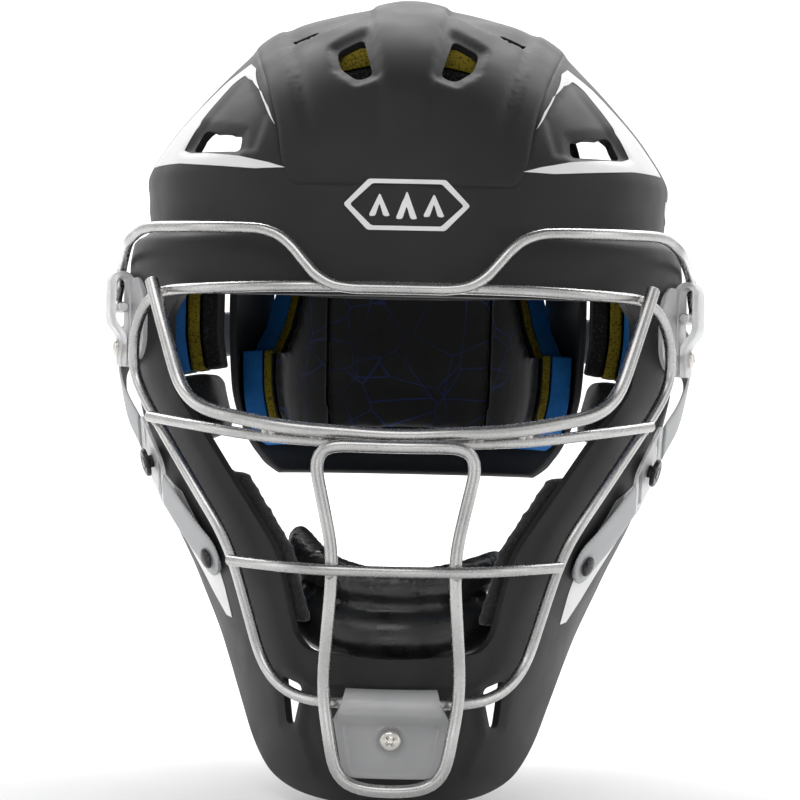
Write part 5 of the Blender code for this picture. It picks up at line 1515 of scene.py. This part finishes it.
def swollen(jobs):
    """Remeshes the pads and lets cloth pressure round them, all in one run of frames."""
    starts = {}
    for item, voxel, pressure, _ in jobs:
        remeshed(item, voxel)
        starts[item.name] = np.array([vertex.co for vertex in item.data.vertices])
        cloth = item.modifiers.new("cloth", "CLOTH")
        settings = cloth.settings
        settings.quality, settings.mass = 4, 0.15
        settings.use_pressure, settings.uniform_pressure_force = True, pressure
        settings.effector_weights.gravity = 0.0
        settings.tension_stiffness = settings.compression_stiffness = 25.0
        settings.shear_stiffness, settings.bending_stiffness = 10.0, 0.5
        cloth.point_cache.frame_start, cloth.point_cache.frame_end = 1, SWELL_FRAMES
    scene = bpy.context.scene
    for number in range(1, SWELL_FRAMES + 1):
        scene.frame_set(number)
    graph = bpy.context.evaluated_depsgraph_get()
    for item, _, _, cap in jobs:
        shown = item.evaluated_get(graph).to_mesh()
        ends = np.array([vertex.co for vertex in shown.vertices])
        move = ends - starts[item.name]
        size = np.linalg.norm(move, axis=1, keepdims=True)
        move *= np.minimum(1.0, cap / np.maximum(size, 1e-9))
        item.evaluated_get(graph).to_mesh_clear()
        item.modifiers.clear()
        item.data.vertices.foreach_set("co", (starts[item.name] + move).astype(np.float32).ravel())
        calm = item.modifiers.new("calm", "SMOOTH")
        calm.factor, calm.iterations = 0.5, 3
        finer = item.modifiers.new("finer", "SUBSURF")
        finer.levels = finer.render_levels = 1
        applied(item)
    scene.frame_set(1)


SWELL_FRAMES = 14
jobs = []
for name, item in pads.items():
    if "liner" in name:
        jobs.append((item, 2.0 * MM, 2.5, 1.2 * MM))
    elif "chin" in name:
        jobs.append((item, 1.9 * MM, 3.0, 1.2 * MM))
    elif "jaw" in name:
        jobs.append((item, 1.8 * MM, 2.0, 0.6 * MM))
    else:
        jobs.append((item, 2.8 * MM, 4.0, 1.6 * MM))
swollen(jobs)


def wrinkled(item):
    """Creases in the thin upper roll of the chin pad and faint ones in the lower."""
    mesh = item.data
    places = np.array([vertex.co for vertex in mesh.vertices])
    normals = np.array([vertex.normal for vertex in mesh.vertices])
    centre_z = -0.1020 + 0.0150 * np.clip((np.abs(places[:, 0]) / 0.043), 0.0, 1.0) ** 2
    upper = eased(0.0010, 0.0045, places[:, 2] - centre_z)
    depth = np.zeros(len(places))
    for index, place in enumerate(places):
        around = math.atan2(place[0], -(place[1] + 0.056)) * 0.06
        point = Vector((around * 520.0, place[2] * 260.0, place[1] * 120.0))
        ridge = 1.0 - abs(noise.noise(point)) * 2.0
        fine = 1.0 - abs(noise.noise(point * 2.3 + Vector((5.0, 1.0, 0.0)))) * 2.0
        soft = noise.noise(Vector(place) * 60.0)
        depth[index] = (-0.7 * MM * max(ridge - 0.60, 0.0) - 0.45 * MM * max(fine - 0.5, 0.0)) * upper[index]
        depth[index] += 0.25 * MM * soft
    mesh.vertices.foreach_set("co", (places + normals * depth[:, None]).astype(np.float32).ravel())
    mesh.update()


wrinkled(pads["chin_pad"])
finished(pads["chin_pad"], "root", "black_leather", ("chin_pad",), sharp=180)
for side, _ in SIDES:
    finished(pads[f"{side}_ear_pad"], "root", "loop_fabric", (f"{side}_ear_pad",), sharp=180)
    finished(pads[f"{side}_jaw_pad"], "root", "loop_fabric", (f"{side}_jaw_pad",), sharp=180)
for panel in ("left", "centre", "right"):
    finished(pads[f"{panel}_liner"], "back_plate", "liner_fabric", (f"{panel}_liner",),
             sharp=180)


# Straps, hooks, studs and rivets.

STRAP_WIDTH, STRAP_THICKNESS, STRAP_PLAY, STRAP_LIFT = 0.020, 0.0018, 0.0012, 0.0024
STUD_RADIUS, STUD_NECK, STUD_HEIGHT, STUD_FLANGE = 0.0058, 0.0026, 0.0072, 0.0016
HOOK_THICKNESS, HOOK_LENGTH, HOOK_WIDTH, HOOK_BAR, HOOK_SLOT, HOOK_PLAY = 0.0014, 0.032, 0.027, 0.0030, 0.0046, 0.0005
RIVET_RADIUS, RIVET_HEIGHT = 0.0042, 0.0016
# The stud's cap: shares of its radius, and metres below its top.
STUD_CAP = ((0.0, 0.0), (0.35, 0.0), (0.42, 0.0005), (0.55, 0.0002), (0.8, 0.0), (0.94, 0.0003), (1.0, 0.0008),
            (1.0, 0.0015), (0.96, 0.0019))


def strap(name, places, normals, width, thickness, round_end=False, bite=0.30 * MM):
    """A woven strap: a flat band with scalloped edges, and how far across and along each point lies."""
    path = flowing(np.hstack([np.asarray(places, float), np.asarray(normals, float)]), 0.5 * MM)
    places, normals = path[:, :3], path[:, 3:]
    along = np.gradient(places, axis=0)
    along /= np.linalg.norm(along, axis=1)[:, None]
    run = np.concatenate(([0.0], np.cumsum(np.linalg.norm(np.diff(places, axis=0), axis=1))))
    rings, weave = [], []
    shares = np.linspace(-1.0, 1.0, 13)
    for place, normal, tangent, far in zip(places, normals, along, run):
        side = np.cross(normal, tangent)
        side /= np.linalg.norm(side)
        out = np.cross(tangent, side)
        half = width / 2 - bite * (0.5 - 0.5 * math.cos(math.tau * far / (1.9 * MM)))
        left = run[-1] - far
        if round_end and left < width / 2:
            half *= math.sqrt(max(1.0 - (1.0 - left / (width / 2)) ** 2, 0.02))
        crown = thickness * (1.0 - 0.40 * np.abs(shares) ** 6)
        top = place + side * (shares * half)[:, None] + out * (crown)[:, None]
        under = place + side * (shares[::-1] * half)[:, None] + out * (thickness - crown[::-1])[:, None]
        rings.append(np.vstack([top, under]))
        for share in np.concatenate([shares, shares[::-1]]):
            weave.append((share * half, far, 0.0))
    item = new_object(name, loft(name, rings))
    layer = item.data.attributes.new("weave", "FLOAT_VECTOR", "POINT")
    layer.data.foreach_set("vector", np.array(weave, np.float32).ravel())
    return item


def side_point(y, z, lift):
    angle = float(FRONT.angle_at_y(y, z))
    return lifted(FRONT, angle, z, lift), FRONT.outward(angle, z)


slope = math.radians(47.0)
stud_y, stud_z = -0.0600, -0.0460
stud_place, stud_normal = side_point(stud_y, stud_z, 0.0)
rear_up = np.array((0.0, math.cos(slope), math.sin(slope)))
rear_up = rear_up - stud_normal * (rear_up @ stud_normal)
rear_up /= np.linalg.norm(rear_up)
strap_reach = HOOK_LENGTH / 2 + STRAP_PLAY
rear_route = [(stud_place + rear_up * strap_reach + stud_normal * STRAP_LIFT, stud_normal)]
rear_route += [side_point(*point) for point in (
    (-0.0350, -0.0215, 0.0048), (-0.0100, -0.0060, 0.0050), (0.0150, 0.0020, 0.0044), (0.0360, 0.0060, 0.0036))]
rear_route += [(np.array(place), np.array((0.75, 0.66, 0.0))) for place in (
    (0.1085, 0.0480, 0.0070), (0.0970, 0.0590, 0.0076), (0.0865, 0.0680, 0.0080))]
for y, z in ((0.0780, 0.0080), (0.0880, 0.0080), (0.0960, 0.0080)):
    angle = float(BACK.angle_at_y(y, z))
    normal = BACK.outward(angle, z)
    rear_route.append((BACK.skin(angle, z) + normal * GAP * 2, normal))
jaw_route = [(stud_place - rear_up * strap_reach + stud_normal * STRAP_LIFT, stud_normal)]
for share in (0.55, 0.78, 1.0):
    jaw_route.append(side_point(stud_y + (-0.0975 - stud_y) * share, stud_z + (-0.0875 - stud_z) * share,
                                STRAP_LIFT * (1.0 - share) + GAP * 2))


def rivet(name, seat, direction, length, body, node, radius=RIVET_RADIUS, height=RIVET_HEIGHT):
    rows = domed(radius, height) + [(SCREW_SHANK, 0.0), (SCREW_SHANK, -length), (0.0, -length)]
    mesh = turned(name, rows, 40)
    mesh.transform(facing(seat, direction))
    return finished(new_object(name, mesh), body, "dark_steel", (node,), sharp=35)


def rounded_box(half_u, half_v, radius, steps=8):
    outline = []
    for quarter, (u, v) in enumerate(((1, 1), (-1, 1), (-1, -1), (1, -1))):
        for step in range(steps + 1):
            angle = math.pi / 2 * (quarter + step / steps)
            outline.append((u * (half_u - radius) + radius * math.cos(angle),
                            v * (half_v - radius) + radius * math.sin(angle)))
    return outline


def plate(name, outlines, thickness, rounding):
    curve = bpy.data.curves.new(name, "CURVE")
    curve.dimensions, curve.fill_mode = "2D", "BOTH"
    curve.extrude, curve.bevel_depth, curve.bevel_resolution = thickness / 2 - rounding, rounding, 3
    curve.offset = -rounding
    for outline in outlines:
        spline = curve.splines.new("POLY")
        spline.points.add(len(outline) - 1)
        for point, (u, v) in zip(spline.points, outline):
            point.co = (u, v, 0.0, 1.0)
        spline.use_cyclic_u = True
    holder = new_object(name, curve)
    graph = bpy.context.evaluated_depsgraph_get()
    mesh = bpy.data.meshes.new_from_object(holder.evaluated_get(graph))
    bpy.data.objects.remove(holder, do_unlink=True)
    mesh.materials.clear()
    bm = bmesh.new()
    bm.from_mesh(mesh)
    bmesh.ops.remove_doubles(bm, verts=bm.verts, dist=1e-6)
    bmesh.ops.recalc_face_normals(bm, faces=bm.faces)
    bm.to_mesh(mesh)
    bm.free()
    return new_object(name, mesh)


for side, sign in SIDES:
    flip = np.array((sign, 1.0, 1.0))
    normal, along, seat = stud_normal * flip, rear_up * flip, stud_place * flip
    length = NUT_SEAT + NUT_HEIGHT + 0.0010
    profile = [(STUD_RADIUS * share, STUD_HEIGHT - drop) for share, drop in STUD_CAP]
    profile += [(STUD_NECK, STUD_HEIGHT - 0.0020), (STUD_NECK, STUD_FLANGE), (STUD_RADIUS * 0.82, STUD_FLANGE),
                (STUD_RADIUS * 0.85, STUD_FLANGE - 0.0003), (STUD_RADIUS * 0.85, GAP), (SCREW_SHANK, GAP),
                (SCREW_SHANK, -length), (0.0, -length)]
    mesh = turned(f"{side}_strap_stud_fine", profile, 44)
    mesh.transform(facing(seat, normal))
    finished(new_object(f"{side}_strap_stud_fine", mesh), "root", "dark_steel",
             (f"{side}_strap_stud",), sharp=35)
    slot_at = HOOK_LENGTH / 2 - HOOK_BAR - HOOK_SLOT / 2
    slot = rounded_box(HOOK_SLOT / 2, STRAP_WIDTH / 2 + STRAP_PLAY, HOOK_SLOT * 0.3, 5)
    bore = STUD_NECK + HOOK_PLAY
    ring = [(bore * math.cos(math.tau * k / 32), bore * math.sin(math.tau * k / 32)) for k in range(32)]
    hook = plate(f"{side}_strap_hook_fine", [rounded_box(HOOK_LENGTH / 2, HOOK_WIDTH / 2, 0.0055), ring,
                 [(u + slot_at, v) for u, v in slot], [(u - slot_at, v) for u, v in slot]], HOOK_THICKNESS, 0.35 * MM)
    hook.data.transform(facing(seat + normal * (STUD_FLANGE + GAP + HOOK_THICKNESS / 2), normal, along))
    finished(hook, f"{side}_hook", "frosted_plastic", (f"{side}_strap_hook",), sharp=35)

    places = [place * flip for place, _ in rear_route]
    normals = [out * flip for _, out in rear_route]
    name = f"{side}_rear_strap"
    band = finished(strap(f"{name}_fine", places, normals, STRAP_WIDTH, STRAP_THICKNESS), None, "grey_elastic",
                    (name,), sharp=180)
    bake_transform(band)
    rivet(f"{side}_rear_rivet_fine", places[-2] + normals[-2] * (STRAP_THICKNESS + GAP), normals[-2],
          STRAP_THICKNESS + BACK_WALL + 0.0018, "back_plate", f"{side}_rear_rivet")

    places = [place * flip for place, _ in jaw_route]
    normals = [out * flip for _, out in jaw_route]
    name = f"{side}_jaw_strap"
    band = finished(strap(f"{name}_fine", places, normals, STRAP_WIDTH, STRAP_THICKNESS, True), None, "grey_elastic",
                    (name,), sharp=180)
    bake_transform(band)
    back_along = places[-2] - places[-1]
    seat = places[-1] + back_along / np.linalg.norm(back_along) * STRAP_WIDTH * 0.35
    seat = seat + normals[-1] * (STRAP_THICKNESS + GAP * 2.5)
    rivet(f"{side}_jaw_rivet_fine", seat, normals[-1], STRAP_THICKNESS + SHELL_WALL + 0.004, "root",
          f"{side}_jaw_rivet")


def back_height(y):
    rear = sorted((float(BACK.section(z)[2]), z) for z in np.linspace(0.02, BACK.top, 200))
    return float(np.interp(y, [value for value, _ in rear], [z for _, z in rear]))


CROWN_WIDE, CROWN_THICK, CROWN_ROOM = 0.038, 0.0020, 0.0010
front_drop = SHELL_WALL + GAP + CROWN_THICK + CROWN_ROOM
crown_route = [np.array((0.0, y, crown_height(CROWN_WIDE / 2, y) - front_drop)) for y in (0.0235, 0.0300, 0.0390)]
crown_route += [np.array((0.0, y, back_height(y) + CROWN_ROOM)) for y in (0.0530, 0.0640, 0.0730, 0.0820, 0.0890)]
crown_along = np.gradient(np.array(crown_route), axis=0)
crown_normals = [np.array((0.0, -a[2], a[1])) / math.hypot(a[1], a[2]) for a in crown_along]
band = finished(strap("crown_strap_fine", crown_route, crown_normals, CROWN_WIDE, CROWN_THICK), None, "grey_elastic",
                ("crown_strap",), sharp=180)
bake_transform(band)
for side, sign in SIDES:
    x = sign * 0.0110
    seat = np.array((x, 0.0308, crown_height(x, 0.0308) + 0.0008))
    rivet(f"{side}_crown_rivet_fine", seat, (0, 0, 1), 0.0090, "root", f"{side}_crown_rivet")
    seat = crown_route[-3] + crown_normals[-3] * (CROWN_THICK + GAP) + np.array((x, 0.0, 0.0))
    rivet(f"{side}_crest_rivet_fine", seat, crown_normals[-3], 0.0070, "back_plate", f"{side}_crest_rivet")
for node in ("left_clip_nut", "right_clip_nut", "left_stud_nut", "right_stud_nut", "chin_nut"):
    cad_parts[node].data.materials[0] = MATERIALS["dark_steel"]


# Floor, backdrop and light.

PAPER_GLOW, FLOOR_RADIUS, BEND_RADIUS, WALL_TOP, BOWL_STEPS = 0.18, 3.3, 0.9, 5.0, 72

def backdrop():
    """A pale floor that curves up into a wall all round."""
    low = min(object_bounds()[0][2], CAD_BOUNDS[0][2]) - 0.0005
    profile = [(radius, low) for radius in (0.02, 0.5, 1.2, 2.2, FLOOR_RADIUS)]
    for angle in np.linspace(0.0, math.pi / 2, 13)[1:]:
        profile.append((FLOOR_RADIUS + BEND_RADIUS * math.sin(angle), low + BEND_RADIUS * (1 - math.cos(angle))))
    profile.append((FLOOR_RADIUS + BEND_RADIUS, WALL_TOP))
    around = BOWL_STEPS
    vertices = [(0.0, 0.0, low)]
    vertices += [(radius * math.cos(math.tau * k / around), radius * math.sin(math.tau * k / around), z)
                 for radius, z in profile for k in range(around)]
    faces = [(0, 1 + k, 1 + (k + 1) % around) for k in range(around)]
    for ring in range(len(profile) - 1):
        for k in range(around):
            a, b = 1 + ring * around + k, 1 + ring * around + (k + 1) % around
            faces.append((a, a + around, b + around, b))
    mesh = bpy.data.meshes.new("backdrop")
    mesh.from_pydata(vertices, [], faces)
    mesh.shade_smooth()
    item = new_object("backdrop", mesh)
    paper = bpy.data.materials.new("backdrop_paper")
    paper.use_nodes = True
    shader = paper.node_tree.nodes["Principled BSDF"]
    for socket, value in (("Base Color", (0.74, 0.74, 0.74, 1.0)), ("Roughness", 0.9), ("Specular IOR Level", 0.1),
                          ("Emission Color", (1.0, 1.0, 1.0, 1.0)), ("Emission Strength", PAPER_GLOW)):
        shader.inputs[socket].default_value = value
    mesh.materials.append(paper)
    item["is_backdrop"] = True


def area_light(name, place, target, size, power, colour=(1.0, 1.0, 1.0)):
    data = bpy.data.lights.new(name, "AREA")
    data.shape, data.size, data.size_y = "RECTANGLE", size[0], size[1]
    data.energy, data.color = power, colour
    lamp = bpy.data.objects.new(name, data)
    bpy.context.scene.collection.objects.link(lamp)
    direction = Vector(target) - Vector(place)
    lamp.matrix_world = Matrix.Translation(Vector(place)) @ direction.to_track_quat("-Z", "Y").to_matrix().to_4x4()


backdrop()
area_light("key", (-0.35, -1.15, 1.35), (0.0, 0.0, 0.0), (1.3, 0.8), 5.8)
area_light("fill_left", (-1.4, -0.5, 0.35), (0.0, 0.0, -0.02), (0.5, 1.2), 1.6)
area_light("fill_right", (1.4, -0.5, 0.35), (0.0, 0.0, -0.02), (0.5, 1.2), 1.6)
area_light("front", (0.0, -1.8, -0.05), (0.0, 0.0, -0.02), (1.2, 0.5), 1.6)
area_light("paper", (0.0, 1.9, 2.8), (0.0, 4.0, 0.1), (3.4, 1.0), 130.0)
area_light("floor_wash", (0.0, 0.75, 0.95), (0.0, 0.85, -0.18), (2.4, 0.9), 20.0)
world = bpy.data.worlds.new("studio")
world.use_nodes = True
world.node_tree.nodes["Background"].inputs["Color"].default_value = (1.0, 1.0, 1.0, 1.0)
world.node_tree.nodes["Background"].inputs["Strength"].default_value = 0.12
bpy.context.scene.world = world
bpy.context.scene.view_settings.view_transform = "Standard"
